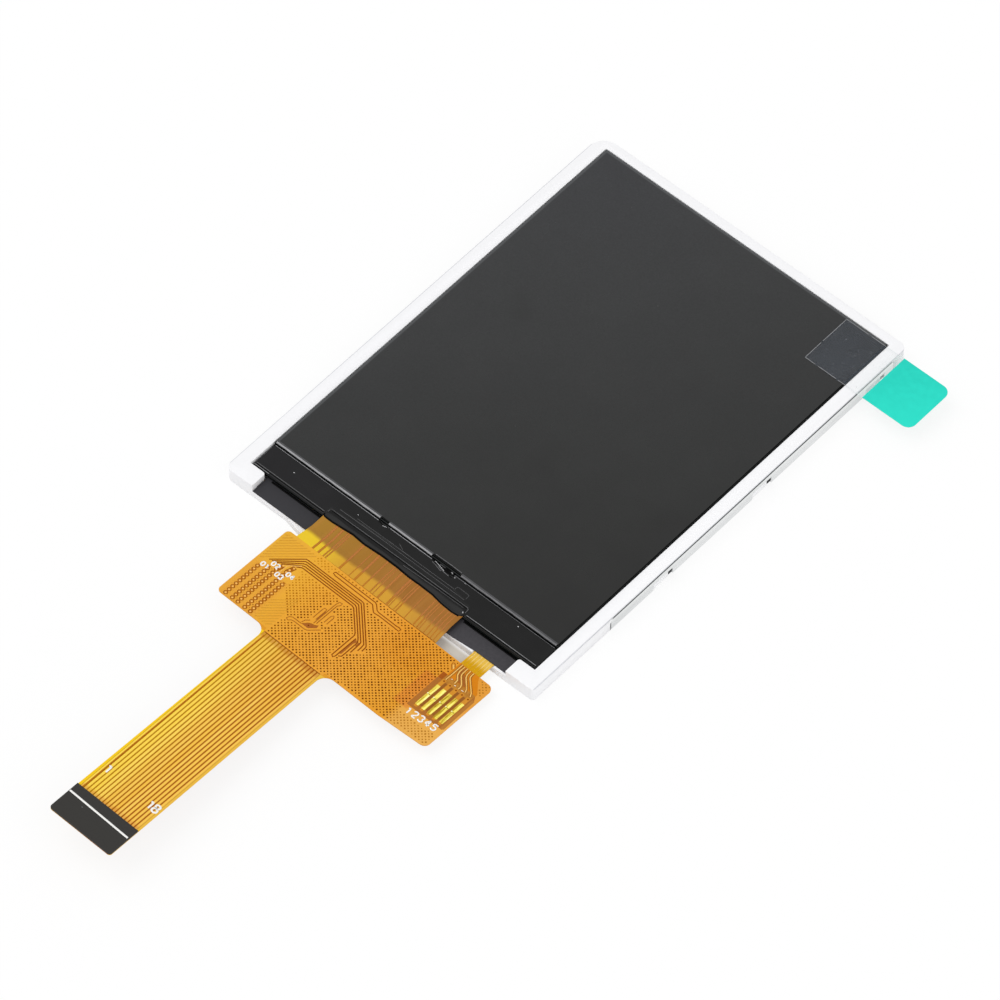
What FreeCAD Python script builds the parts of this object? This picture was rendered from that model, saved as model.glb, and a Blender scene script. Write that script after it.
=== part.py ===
import FreeCAD, Part
import os
import Sketcher

# Small colour TFT display module: a metal tray and a white moulded frame hold the backlight
# sheets, the liquid crystal cell lies on top, and one flexible circuit leaves at the -Y end.
# Millimetres. X across, Y along (circuit at -Y), Z up from the back of the tray.

sheetRows = [
    # general
    ("fitGap", 0.05), ("cutPast", 1.0),
    # frame
    ("frameWidth", 50.0), ("frameLength", 69.2), ("rimHeight", 2.2),
    ("frameCorner", 1.1), ("frameFarCorner", 2.4), ("frameTailCorner", 0.5), ("seatHeight", 1.13),
    ("seatHalf", 23.1), ("seatTop", 33.25), ("seatBottom", 32.1),
    ("lightHalf", 22.0), ("lightTop", 32.4), ("lightBottom", 33.7), ("blockInner", 20.6),
    ("blockCorner", 0.4),
    ("recessDepth", 0.2), ("recessHeight", 2.1), ("recessCorner", 0.75),
    ("lugLeft", 15.1), ("lugRight", 9.0), ("lugReach", 0.55), ("lugHeight", 0.95),
    ("lugRoot", 0.3), ("lugRamp", 2.4),
    # tray
    ("trayThick", 0.15), ("trayWallHeight", 2.05), ("trayWallCorner", 0.7),
    ("flapStart", 20.4), ("flapEnd", 31.95), ("topFlapHalf", 19.9),
    ("panHalf", 22.85), ("panBottom", 33.9), ("panTop", 33.6),
    ("windowHeight", 1.1), ("windowLength", 3.5), ("windowDepth", 0.35), ("windowLow", 10.95),
    ("windowMiddle", 7.25), ("windowHigh", 28.5), ("hookLength", 2.7), ("hookReach", 0.13),
    ("hookRoot", 0.3), ("hookHeight", 0.85),
    # backlight sheets
    ("reflectorThick", 0.1), ("guideThick", 0.65), ("diffuserThick", 0.08), ("prismThick", 0.075),
    ("sheetHalf", 21.9), ("sheetTop", 32.3), ("guideBottom", 31.3), ("reflectorBottom", 33.6),
    ("ledLength", 3.8), ("ledDepth", 1.0), ("ledHeight", 0.6), ("ledPitch", 9.6),
    # rim tape
    ("tapeThick", 0.12), ("tapeHalf", 23.0), ("tapeTop", 33.15), ("tapeInnerHalf", 21.7),
    ("tapeInnerTop", 31.6), ("tapeInnerBottom", 28.5), ("tapeShoulder", 32.0),
    ("tapeStripHalf", 20.5), ("tapeStripLow", 34.6), ("tapeStripHigh", 34.3), ("tapeJog", 12.0),
    # cell
    ("rearPolariserThick", 0.11), ("rearPolariserHalf", 22.5), ("rearPolariserTop", 32.8),
    ("rearPolariserBottom", 30.8), ("arrayThick", 0.44), ("sealThick", 0.02), ("filterThick", 0.42),
    ("glassHalf", 22.95), ("glassTop", 33.1), ("arrayBottom", 31.9), ("filterBottom", 27.9),
    ("sealWidth", 0.8), ("sealInset", 0.15), ("polariserThick", 0.12), ("polariserHalf", 22.85),
    ("polariserTop", 33.0), ("polariserBottom", 27.6), ("filmThick", 0.05), ("filmOver", 0.12),
    # ledge
    ("chipHalf", 8.5), ("chipTop", 28.9), ("chipBottom", 29.9), ("chipThick", 0.13),
    ("coverHalf", 22.9), ("coverThick", 0.2), ("coverTop", 27.95), ("coverBottom", 31.85),
    ("beadHalf", 11.25), ("beadTop", 30.55), ("beadBottom", 31.95), ("beadThick", 0.25),
    ("beadEnd", 0.6),
    # flexible circuit
    ("flexThick", 0.1), ("neckHalf", 11.3), ("bondStart", 30.65), ("bendStart", 34.0),
    ("bendRadius", 40.0), ("flexSlope", 3.72), ("flexRoll", 2.7), ("bodyLeft", 12.65), ("bodyRight", 20.8),
    ("bodyTop", 0.16), ("bodyBottom", 12.86), ("bodyCorner", 0.6), ("bodyRightCorner", 0.9),
    ("heelStart", 13.5), ("heelBottom", 12.42),
    ("tailShift", 0.24), ("tailHalf", 4.74), ("tailEndShift", 0.12), ("tailEndHalf", 4.9),
    ("tailLength", 50.27), ("tailFillet", 1.5), ("tailEndCorner", 0.4),
    ("armLeft", 15.42), ("armRight", 18.5), ("armRoom", 0.15), ("armLevel", 1.08), ("armStart", 34.45),
    ("stripHalf", 19.5), ("stripTop", 31.45), ("stripBottom", 33.6),
    ("coverlayThick", 0.03), ("coverTongue", 0.45), ("lineShift", 0.15), ("tracePitch", 0.51), ("traceWidth", 0.33),
    ("traceThick", 0.018),
    ("stiffenerStart", 45.4), ("stiffenerThick", 0.2), ("fingerLength", 3.3), ("fingerWidth", 0.3),
    ("landPitch", 0.958), ("landWidth", 0.54), ("landFirst", 15.82), ("landTop", 4.5),
    ("landBottom", 8.47), ("landThick", 0.02),
    # pull tab
    ("pullInner", 16.7), ("pullOuter", 33.55), ("pullLow", 24.75), ("pullHigh", 32.75),
    ("pullThick", 0.05), ("pullCorner", 1.2), ("gripInner", 26.0), ("gripThick", 0.04),
]
pinCount = 18        # lines in the tail
landCount = 5        # one common line and four lamp lines
ledCount = 4

doc = FreeCAD.newDocument("DisplayModule")
sheet = doc.addObject("Spreadsheet::Sheet", "Dims")
for row, (alias, value) in enumerate(sheetRows, start=1):
    sheet.set("A%d" % row, alias)
    sheet.set("B%d" % row, str(value))
    sheet.setAlias("B%d" % row, alias)
doc.recompute()
finished = []        # the sub-parts, in order

# levels of the stack, as expressions
guideLevel = "(Dims.trayThick + Dims.reflectorThick)"
diffuserLevel = "(%s + Dims.guideThick)" % guideLevel
lowerPrismLevel = "(%s + Dims.diffuserThick)" % diffuserLevel
upperPrismLevel = "(%s + Dims.prismThick)" % lowerPrismLevel
panelLevel = "(Dims.seatHeight + Dims.tapeThick)"
arrayLevel = "(%s + Dims.rearPolariserThick)" % panelLevel
ledgeLevel = "(%s + Dims.arrayThick)" % arrayLevel
filterLevel = "(%s + Dims.sealThick)" % ledgeLevel
polariserLevel = "(%s + Dims.filterThick)" % filterLevel
filmLevel = "(%s + Dims.polariserThick)" % polariserLevel
pullLevel = "(%s + Dims.filmThick)" % filmLevel
gripLevel = "(%s + Dims.pullThick)" % pullLevel
slope = "Dims.flexSlope * 1deg"
tailLeft, tailRight = "(Dims.tailShift - Dims.tailHalf)", "(Dims.tailShift + Dims.tailHalf)"
endLeft, endRight = "(Dims.tailEndShift - Dims.tailEndHalf)", "(Dims.tailEndShift + Dims.tailEndHalf)"
bendEndY = "(-Dims.bendStart - Dims.bendRadius * sin(%s))" % slope
bendEndZ = "(%s + Dims.bendRadius * (1 - cos(%s)))" % (ledgeLevel, slope)


def evaluate(expression):
    value = sheet.evalExpression(str(expression))
    return float(getattr(value, "Value", value))


def bind(obj, prop, expression):
    obj.setExpression(prop, str(expression))


def finish(obj, label):
    obj.Label = label
    finished.append(obj)
    return obj


def newBody(name):
    return doc.addObject("PartDesign::Body", name)


def addLoop(sketch, corners):
    # a closed outline of straight edges, every corner tied to the sheet
    points = [(evaluate(x), evaluate(y)) for x, y in corners]
    first = sketch.GeometryCount
    count = len(points)
    for i in range(count):
        a, b = points[i], points[(i + 1) % count]
        side = Part.LineSegment(FreeCAD.Vector(a[0], a[1], 0), FreeCAD.Vector(b[0], b[1], 0))
        sketch.addGeometry(side, False)
    for i in range(count):
        sketch.addConstraint(Sketcher.Constraint("Coincident", first + i, 2, first + (i + 1) % count, 1))
    for i in range(count):
        for kind, axis, value, text in (("DistanceX", -2, points[i][0], corners[i][0]),
                                        ("DistanceY", -1, points[i][1], corners[i][1])):
            if abs(value) < 1e-9:
                sketch.addConstraint(Sketcher.Constraint("PointOnObject", first + i, 1, axis))
            else:
                index = sketch.addConstraint(Sketcher.Constraint(kind, -1, 1, first + i, 1, value))
                bind(sketch, "Constraints[%d]" % index, text)


def box4(xLow, xHigh, yLow, yHigh):
    return [(xLow, yLow), (xHigh, yLow), (xHigh, yHigh), (xLow, yHigh)]


def drawing(body, name, level, *loops):
    # a sketch parallel to the body's XY plane at the given level
    sketch = body.newObject("Sketcher::SketchObject", name)
    plane = [o for o in body.Origin.OriginFeatures if o.Role == "XY_Plane"][0]
    sketch.AttachmentSupport = [(plane, "")]
    sketch.MapMode = "FlatFace"
    bind(sketch, "AttachmentOffset.Base.z", level)
    for loop in loops:
        addLoop(sketch, loop)
    return sketch


def pad(body, name, level, height, *loops):
    feature = body.newObject("PartDesign::Pad", name)
    feature.Profile = drawing(body, name + "Outline", level, *loops)
    bind(feature, "Length", height)
    doc.recompute()
    return feature


def cutUp(body, name, level, height, *loops):
    # a pocket that cuts upwards from its sketch; it has to remove material
    before = body.Tip.Shape.Volume
    feature = body.newObject("PartDesign::Pocket", name)
    feature.Profile = drawing(body, name + "Outline", level, *loops)
    feature.Reversed = True
    bind(feature, "Length", height)
    doc.recompute()
    if not feature.Shape.Volume < before - 1e-6:
        raise ValueError("%s removed nothing" % name)
    return feature


def uprights(feature, places):
    # names of the upright edges that stand at the given places
    names = []
    for number, edge in enumerate(feature.Shape.Edges, start=1):
        box = edge.BoundBox
        if box.ZLength < 1e-4 or box.XLength > 1e-5 or box.YLength > 1e-5:
            continue
        for x, y in places:
            if abs(box.XMin - x) < 1e-3 and abs(box.YMin - y) < 1e-3:
                names.append("Edge%d" % number)
    return names


def crosswise(feature, places):
    # names of the edges that run along X or Y through the given points
    names = []
    for number, edge in enumerate(feature.Shape.Edges, start=1):
        box = edge.BoundBox
        if box.ZLength > 1e-5:
            continue
        for x, y, z in places:
            point = Part.Vertex(x, y, z)
            if edge.distToShape(point)[0] < 1e-3 and min(box.XLength, box.YLength) < 1e-5:
                names.append("Edge%d" % number)
    return names


def roundOff(body, name, names, radius):
    if not names:
        raise ValueError("%s found no edges" % name)
    base = body.Tip
    feature = body.newObject("PartDesign::Fillet", name)
    feature.Base = (base, names)
    bind(feature, "Radius", radius)
    doc.recompute()
    return feature


def plate(label, halfWidth, low, high, level, thick):
    # a flat sheet, centred across the module
    obj = doc.addObject("Part::Box", label.title().replace("_", ""))
    bind(obj, "Length", "2 * " + halfWidth)
    bind(obj, "Width", "%s - %s" % (high, low))
    bind(obj, "Height", thick)
    bind(obj, "Placement.Base.x", "-" + halfWidth)
    bind(obj, "Placement.Base.y", low)
    bind(obj, "Placement.Base.z", level)
    return finish(obj, label)


def placeAt(x, y, z, turns):
    # a placement in words: a point, then turns of (axis, angle) one after the other
    spins = " * ".join("create(<<rotation>>; create(<<vector>>; %s); %s)" % (axis, angle) for axis, angle in turns)
    return "create(<<placement>>; create(<<vector>>; %s; %s; %s); %s)" % (x, y, z, spins)


# the circuit's flat part rises gently away from the module, and leans down to the lamp arm's side
onSlope = placeAt("0", bendEndY, bendEndZ, [("1; 0; 0", "-Dims.flexSlope"), ("0; 1; 0", "Dims.flexRoll")])


def placeOnSlope(obj):
    bind(obj, "Placement", onSlope)


def group(label, pieces):
    obj = doc.addObject("Part::Compound", label.title().replace("_", ""))
    obj.Links = pieces
    return finish(obj, label)


# the tray

def trayOutline(grow):
    # floor of the tray: a pan with a flap on each long side and one at the +Y end
    side = "(Dims.frameWidth / 2)"
    pan = "(Dims.panHalf + %s)" % grow
    low, high = "(-Dims.flapStart - %s)" % grow, "(Dims.flapEnd + %s)" % grow
    bottom, top = "(-Dims.panBottom - %s)" % grow, "(Dims.panTop + %s)" % grow
    end, half = "(Dims.frameLength / 2)", "(Dims.topFlapHalf + %s)" % grow
    return [("-" + pan, bottom), (pan, bottom), (pan, low), (side, low), (side, high), (pan, high),
            (pan, top), (half, top), (half, end), ("-" + half, end), ("-" + half, top),
            ("-" + pan, top), ("-" + pan, high), ("-" + side, high), ("-" + side, low), ("-" + pan, low)]


def clipPlaces(inside, outside, start, length):
    # three places on each long side, where a hook of the frame snaps into an opening of the tray
    loops = []
    for centre in ("-Dims.windowLow", "Dims.windowMiddle", "Dims.windowHigh"):
        low = "(%s - Dims.windowLength / 2 + %s)" % (centre, start)
        high = "(%s + %s)" % (low, length)
        loops.append(box4(inside, outside, low, high))
        loops.append(box4("-" + outside, "-" + inside, low, high))
    return loops


def makeTray():
    body = newBody("BackShell")
    wide, long = "(Dims.frameWidth / 2)", "(Dims.frameLength / 2)"
    inner, innerEnd = "(%s - Dims.trayThick)" % wide, "(%s - Dims.trayThick)" % long
    pad(body, "TrayFloor", "0", "Dims.trayThick", trayOutline("0"))
    pad(body, "TrayWalls", "0", "Dims.trayWallHeight",
        box4(inner, wide, "-Dims.flapStart", "Dims.flapEnd"),
        box4("-" + wide, "-" + inner, "-Dims.flapStart", "Dims.flapEnd"),
        box4("-Dims.topFlapHalf", "Dims.topFlapHalf", innerEnd, long))
    high, halfThick = evaluate("Dims.trayWallHeight"), evaluate("Dims.trayThick") / 2
    side, end = evaluate(wide) - halfThick, evaluate(long) - halfThick
    flapEnds = (-evaluate("Dims.flapStart"), evaluate("Dims.flapEnd"))
    ends = [(s * side, y, high) for s in (-1, 1) for y in flapEnds]
    ends += [(s * evaluate("Dims.topFlapHalf"), end, high) for s in (-1, 1)]
    roundOff(body, "TrayWallCorners", crosswise(body.Tip, ends), "Dims.trayWallCorner")
    cutUp(body, "TrayWindows", "0", "Dims.windowHeight",
          *clipPlaces("(%s - Dims.windowDepth)" % wide, "(%s + Dims.cutPast)" % wide,
                      "0", "Dims.windowLength"))
    return finish(body, "back_shell")


# the moulded frame

def makeFrame():
    body = newBody("MouldFrame")
    wide, long = "(Dims.frameWidth / 2)", "(Dims.frameLength / 2)"
    w, l = evaluate(wide), evaluate(long)
    recess = "(%s - Dims.recessDepth)" % wide
    recessEnd = "(%s - Dims.recessDepth)" % long
    pad(body, "FrameBlock", "0", "Dims.rimHeight", box4("-" + wide, wide, "-" + long, long))
    roundOff(body, "FrameCorners", uprights(body.Tip, [(-w, -l), (w, l)]), "Dims.frameCorner")
    roundOff(body, "FrameFarCorner", uprights(body.Tip, [(-w, l)]), "Dims.frameFarCorner")
    roundOff(body, "FrameTailCorner", uprights(body.Tip, [(w, -l)]), "Dims.frameTailCorner")
    cutUp(body, "PanelSeat", "Dims.seatHeight", "Dims.rimHeight",
          box4("-Dims.seatHalf", "Dims.seatHalf", "-Dims.seatBottom", "Dims.seatTop"))
    cutUp(body, "LightOpening", "-Dims.cutPast", "Dims.seatHeight + Dims.cutPast",
          box4("-Dims.lightHalf", "Dims.lightHalf", "-Dims.lightBottom", "Dims.lightTop"))
    cutUp(body, "FrontStep", "Dims.seatHeight", "Dims.rimHeight",
          box4("-Dims.blockInner", "Dims.blockInner", "-%s - Dims.cutPast" % long,
               "-Dims.seatBottom + Dims.cutPast"))
    block, seat = evaluate("Dims.blockInner"), -evaluate("Dims.seatBottom")
    roundOff(body, "BlockCorners", uprights(body.Tip, [(-block, seat), (block, seat)]), "Dims.blockCorner")
    cutUp(body, "ArmNotch", "(Dims.armLevel - Dims.flexThick / 2 - Dims.fitGap)", "Dims.rimHeight",
          box4("Dims.armLeft - Dims.armRoom", "Dims.armRight + Dims.armRoom", "-%s - Dims.cutPast" % long,
               "-Dims.lightBottom + Dims.cutPast"))
    root, reach = "-%s + Dims.lugRoot" % long, "-%s - Dims.lugReach" % long
    pad(body, "Lug", "0", "Dims.lugHeight",
        [("-Dims.lugLeft", root), ("-Dims.lugLeft", "-" + long), ("-Dims.lugLeft + Dims.lugRamp", reach),
         ("-Dims.lugRight", reach), ("-Dims.lugRight", root)])
    low, high = "(-Dims.flapStart - Dims.fitGap)", "(Dims.flapEnd + Dims.fitGap)"
    beyond, beyondEnd = "(%s + Dims.cutPast)" % wide, "%s + Dims.cutPast" % long
    topHalf = "(Dims.topFlapHalf + Dims.fitGap)"
    cutUp(body, "SideRecesses", "-Dims.cutPast", "Dims.recessHeight + Dims.cutPast",
          box4(recess, beyond, low, high), box4("-" + beyond, "-" + recess, low, high),
          box4("-" + topHalf, topHalf, recessEnd, beyondEnd))
    z, inset = evaluate("Dims.recessHeight"), evaluate("Dims.recessDepth") / 2
    ends = [(s * (w - inset), evaluate(y), z) for s in (-1, 1) for y in (low, high)]
    roundOff(body, "RecessCorners", crosswise(body.Tip, ends), "Dims.recessCorner")
    cutUp(body, "TraySeat", "-Dims.cutPast", "Dims.trayThick + Dims.cutPast", trayOutline("Dims.fitGap"))
    hooks = clipPlaces("(%s - Dims.hookRoot)" % recess, "(%s + Dims.hookReach)" % recess,
                       "Dims.fitGap", "Dims.hookLength")
    pad(body, "Hooks", "Dims.trayThick", "Dims.hookHeight", *hooks)
    return finish(body, "mould_frame")


# backlight

def makeBacklight():
    plate("reflector_sheet", "Dims.sheetHalf", "-Dims.reflectorBottom", "Dims.sheetTop",
          "Dims.trayThick", "Dims.reflectorThick")
    for label, level, thick in (("light_guide", guideLevel, "Dims.guideThick"),
                                ("diffuser_sheet", diffuserLevel, "Dims.diffuserThick"),
                                ("lower_prism_sheet", lowerPrismLevel, "Dims.prismThick"),
                                ("upper_prism_sheet", upperPrismLevel, "Dims.prismThick")):
        plate(label, "Dims.sheetHalf", "-Dims.guideBottom", "Dims.sheetTop", level, thick)
    lamps = []
    for i in range(ledCount):
        step = i - (ledCount - 1) / 2
        lamp = doc.addObject("Part::Box", "Lamp%d" % (i + 1))
        bind(lamp, "Length", "Dims.ledLength")
        bind(lamp, "Width", "Dims.ledDepth")
        bind(lamp, "Height", "Dims.ledHeight")
        bind(lamp, "Placement.Base.x", "(%g) * Dims.ledPitch - Dims.ledLength / 2" % step)
        bind(lamp, "Placement.Base.y", "-Dims.guideBottom - Dims.fitGap - Dims.ledDepth")
        bind(lamp, "Placement.Base.z", "Dims.armLevel - Dims.flexThick / 2 - Dims.ledHeight")
        lamps.append(lamp)
    group("backlight_leds", lamps)


def makeRimTape():
    # double-sided black tape round the cell; its -Y strip also covers the lamps and the front wall
    body = newBody("RimTape")
    strip, low = "Dims.tapeStripHalf", "-Dims.tapeShoulder"
    outer = [("-Dims.tapeHalf", "Dims.tapeTop"), ("-Dims.tapeHalf", low), ("-" + strip, low),
             ("-" + strip, "-Dims.tapeStripLow"), ("Dims.tapeJog", "-Dims.tapeStripLow"),
             ("Dims.armLeft", "-Dims.tapeStripHigh"), (strip, "-Dims.tapeStripHigh"), (strip, low),
             ("Dims.tapeHalf", low), ("Dims.tapeHalf", "Dims.tapeTop")]
    inner = box4("-Dims.tapeInnerHalf", "Dims.tapeInnerHalf", "-Dims.tapeInnerBottom", "Dims.tapeInnerTop")
    pad(body, "TapeRing", "Dims.seatHeight", "Dims.tapeThick", outer, inner)
    return finish(body, "rim_tape")


# liquid crystal cell

def makeCell():
    plate("rear_polariser", "Dims.rearPolariserHalf", "-Dims.rearPolariserBottom", "Dims.rearPolariserTop",
          panelLevel, "Dims.rearPolariserThick")
    plate("array_glass", "Dims.glassHalf", "-Dims.arrayBottom", "Dims.glassTop",
          arrayLevel, "Dims.arrayThick")
    body = newBody("CellSeal")
    outer = box4("-(Dims.glassHalf - Dims.sealInset)", "Dims.glassHalf - Dims.sealInset",
                 "-(Dims.filterBottom - Dims.sealInset)", "Dims.glassTop - Dims.sealInset")
    inset = "(Dims.sealInset + Dims.sealWidth)"
    inner = box4("-(Dims.glassHalf - %s)" % inset, "Dims.glassHalf - %s" % inset,
                 "-(Dims.filterBottom - %s)" % inset, "Dims.glassTop - %s" % inset)
    pad(body, "SealRing", ledgeLevel, "Dims.sealThick", outer, inner)
    finish(body, "cell_seal")
    plate("colour_filter_glass", "Dims.glassHalf", "-Dims.filterBottom", "Dims.glassTop",
          filterLevel, "Dims.filterThick")
    plate("front_polariser", "Dims.polariserHalf", "-Dims.polariserBottom", "Dims.polariserTop",
          polariserLevel, "Dims.polariserThick")
    plate("protective_film", "Dims.polariserHalf", "-(Dims.polariserBottom + Dims.filmOver)",
          "Dims.polariserTop", filmLevel, "Dims.filmThick")


def makeLedge():
    # driver chip on the bare ledge of the rear glass, with black sealant over it
    chip = doc.addObject("Part::Box", "DriverChip")
    bind(chip, "Length", "2 * Dims.chipHalf")
    bind(chip, "Width", "Dims.chipBottom - Dims.chipTop")
    bind(chip, "Height", "Dims.chipThick")
    bind(chip, "Placement.Base.x", "-Dims.chipHalf")
    bind(chip, "Placement.Base.y", "-Dims.chipBottom")
    bind(chip, "Placement.Base.z", ledgeLevel)
    finish(chip, "driver_chip")

    body = newBody("LedgeCover")
    notch, notchTop = "(Dims.neckHalf + Dims.fitGap)", "(-Dims.beadTop + Dims.fitGap)"
    pad(body, "CoverBand", ledgeLevel, "Dims.coverThick",
        [("-Dims.coverHalf", "-Dims.coverBottom"), ("-" + notch, "-Dims.coverBottom"),
         ("-" + notch, notchTop), (notch, notchTop),
         (notch, "-Dims.coverBottom"), ("Dims.coverHalf", "-Dims.coverBottom"),
         ("Dims.coverHalf", "-Dims.coverTop"), ("-Dims.coverHalf", "-Dims.coverTop")])
    cutUp(body, "ChipRoom", ledgeLevel + " - Dims.fitGap", "Dims.chipThick + Dims.fitGap",
          box4("-Dims.chipHalf", "Dims.chipHalf", "-Dims.chipBottom", "-Dims.chipTop"))
    finish(body, "ledge_cover")

    body = newBody("BondSeal")
    pad(body, "BeadStrip", ledgeLevel + " + Dims.flexThick", "Dims.beadThick",
        box4("-Dims.beadHalf", "Dims.beadHalf", "-Dims.beadBottom", "-Dims.beadTop"))
    half, low, high = evaluate("Dims.beadHalf"), -evaluate("Dims.beadBottom"), -evaluate("Dims.beadTop")
    roundOff(body, "BeadEnds", uprights(body.Tip, [(s * half, y) for s in (-1, 1) for y in (low, high)]),
             "Dims.beadEnd")
    finish(body, "bond_seal")


# flexible circuit

def bodyCorners():
    # outline of the flat part, y counted along its own slope
    neck, top, bottom = "Dims.neckHalf", "-Dims.bodyTop", "-Dims.bodyBottom"
    stiff, end = "-Dims.stiffenerStart", "-Dims.tailLength"
    return [("-" + neck, "0"), (neck, "0"), (neck, top), ("Dims.armLeft", top), ("Dims.armLeft", "0"),
            ("Dims.armRight", "0"), ("Dims.armRight", top), ("Dims.bodyRight", top),
            ("Dims.bodyRight", "-Dims.heelBottom"), ("Dims.heelStart", bottom), (tailRight, bottom),
            (endRight, stiff), (endRight, end), (endLeft, end), (endLeft, stiff), (tailLeft, bottom),
            ("-Dims.bodyLeft", bottom), ("-Dims.bodyLeft", top), ("-" + neck, top)]


def filmEnd(name, left, right, place):
    # the cut end of a length of film, as a flat face
    face = doc.addObject("Part::Plane", name)
    bind(face, "Length", "%s - %s" % (right, left))
    bind(face, "Width", "Dims.flexThick")
    bind(face, "Placement", place)
    return face


def filmBetween(name, left, right, flatY, level):
    # a length of film that leaves the module flat and meets the leaning plate
    upright = ("1; 0; 0", "90")
    start = filmEnd(name + "Start", left, right, placeAt(left, flatY, level, [upright]))
    end = filmEnd(name + "End", left, right, onSlope + " * " + placeAt(left, "0", "0", [upright]))
    length = doc.addObject("Part::Loft", name)
    length.Sections, length.Solid, length.Ruled = [start, end], True, True
    return length


def filmStrip(name, xLow, xHigh, yLow, yHigh, level):
    obj = doc.addObject("Part::Box", name)
    bind(obj, "Length", "%s - %s" % (xHigh, xLow))
    bind(obj, "Width", "%s - %s" % (yHigh, yLow))
    bind(obj, "Height", "Dims.flexThick")
    bind(obj, "Placement.Base.x", xLow)
    bind(obj, "Placement.Base.y", yLow)
    bind(obj, "Placement.Base.z", level)
    return obj


def makeFlex():
    body = newBody("FlexPlate")
    pad(body, "FlexOutline", "0", "Dims.flexThick", bodyCorners())
    left, right, top, bottom, heel = (evaluate(t) for t in (
        "-Dims.bodyLeft", "Dims.bodyRight", "-Dims.bodyTop", "-Dims.bodyBottom", "-Dims.heelBottom"))
    tailEdges, end = [evaluate(tailLeft), evaluate(tailRight)], -evaluate("Dims.tailLength")
    endEdges = [evaluate(endLeft), evaluate(endRight)]
    roundOff(body, "BodyLeftCorners", uprights(body.Tip, [(left, top), (left, bottom)]), "Dims.bodyCorner")
    roundOff(body, "BodyRightCorners", uprights(body.Tip, [(right, top), (right, heel)]), "Dims.bodyRightCorner")
    roundOff(body, "TailFillets", uprights(body.Tip, [(x, bottom) for x in tailEdges]), "Dims.tailFillet")
    roundOff(body, "TailEnd", uprights(body.Tip, [(x, end) for x in endEdges]), "Dims.tailEndCorner")
    placeOnSlope(body)

    bond = filmStrip("NeckBond", "-Dims.neckHalf", "Dims.neckHalf", "-Dims.bendStart", "-Dims.bondStart",
                     ledgeLevel)
    filmLevel = "(Dims.armLevel - Dims.flexThick / 2)"
    neck = filmBetween("NeckBend", "-Dims.neckHalf", "Dims.neckHalf", "-Dims.bendStart", ledgeLevel)
    arm = filmBetween("LampArm", "Dims.armLeft", "Dims.armRight", "-Dims.armStart", filmLevel)
    armBase = filmStrip("ArmBase", "Dims.armLeft", "Dims.armRight", "-Dims.armStart", "-Dims.stripBottom",
                        filmLevel)
    lampStrip = filmStrip("LampStrip", "-Dims.stripHalf", "Dims.stripHalf", "-Dims.stripBottom",
                          "-Dims.stripTop", filmLevel)
    doc.recompute()
    whole = doc.addObject("Part::MultiFuse", "MainFlex")
    whole.Shapes = [body, bond, neck, arm, armBase, lampStrip]
    whole.Refine = True
    return finish(whole, "main_flex")


def makeFlexCover():
    # the orange covering layer of the wide part
    body = newBody("FlexCover")
    top, bottom, heel = "-Dims.bodyTop", "-Dims.bodyBottom", "-Dims.heelBottom"
    tongue = "-(Dims.bodyBottom + Dims.coverTongue)"
    pad(body, "CoverlayOutline", "Dims.flexThick", "Dims.coverlayThick",
        [("-Dims.bodyLeft", top), ("-Dims.bodyLeft", bottom), (tailLeft, bottom), (tailLeft, tongue),
         (tailRight, tongue), (tailRight, bottom), ("Dims.heelStart", bottom),
         ("Dims.bodyRight", heel), ("Dims.bodyRight", top)])
    left, right, high, low, heelLow = (evaluate(t) for t in (
        "-Dims.bodyLeft", "Dims.bodyRight", top, bottom, heel))
    roundOff(body, "CoverlayLeftCorners", uprights(body.Tip, [(left, high), (left, low)]), "Dims.bodyCorner")
    roundOff(body, "CoverlayRightCorners", uprights(body.Tip, [(right, high), (right, heelLow)]),
             "Dims.bodyRightCorner")
    placeOnSlope(body)
    return finish(body, "flex_cover")


def slopeBars(label, count, first, pitch, width, low, high, level, thick):
    # a row of equal narrow bars on the flat part of the circuit
    body = newBody(label.title().replace("_", ""))
    left = "(%s - %s / 2)" % (first, width)
    bar = pad(body, "Bar" + body.Name, level, thick, box4(left, "(%s + %s / 2)" % (first, width), low, high))
    row = body.newObject("PartDesign::LinearPattern", "Row" + body.Name)
    row.Originals = [bar]
    row.Direction = ([o for o in body.Origin.OriginFeatures if o.Role == "X_Axis"][0], [""])
    bind(row, "Length", "%s * %d" % (pitch, count - 1))
    row.Occurrences = count
    body.Tip = row
    placeOnSlope(body)
    doc.recompute()
    return finish(body, label)


def makeFlexDetails():
    firstLine = "(Dims.lineShift - Dims.tracePitch * %g)" % ((pinCount - 1) / 2)
    slopeBars("tail_traces", pinCount, firstLine, "Dims.tracePitch", "Dims.traceWidth",
              "-Dims.stiffenerStart", "-(Dims.bodyBottom + Dims.coverTongue)", "Dims.flexThick", "Dims.traceThick")
    slopeBars("contact_fingers", pinCount, firstLine, "Dims.tracePitch", "Dims.fingerWidth",
              "-Dims.tailLength", "-(Dims.tailLength - Dims.fingerLength)",
              "-Dims.traceThick", "Dims.traceThick")
    slopeBars("led_lands", landCount, "Dims.landFirst", "Dims.landPitch", "Dims.landWidth",
              "-Dims.landBottom", "-Dims.landTop", "(Dims.flexThick + Dims.coverlayThick)", "Dims.landThick")
    body = newBody("TailStiffener")
    pad(body, "StiffenerOutline", "Dims.flexThick", "Dims.stiffenerThick",
        box4(endLeft, endRight, "-Dims.tailLength", "-Dims.stiffenerStart"))
    end = -evaluate("Dims.tailLength")
    roundOff(body, "StiffenerEnd", uprights(body.Tip, [(evaluate(x), end) for x in (endLeft, endRight)]),
             "Dims.tailEndCorner")
    placeOnSlope(body)
    finish(body, "tail_stiffener")


# pull tab

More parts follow.
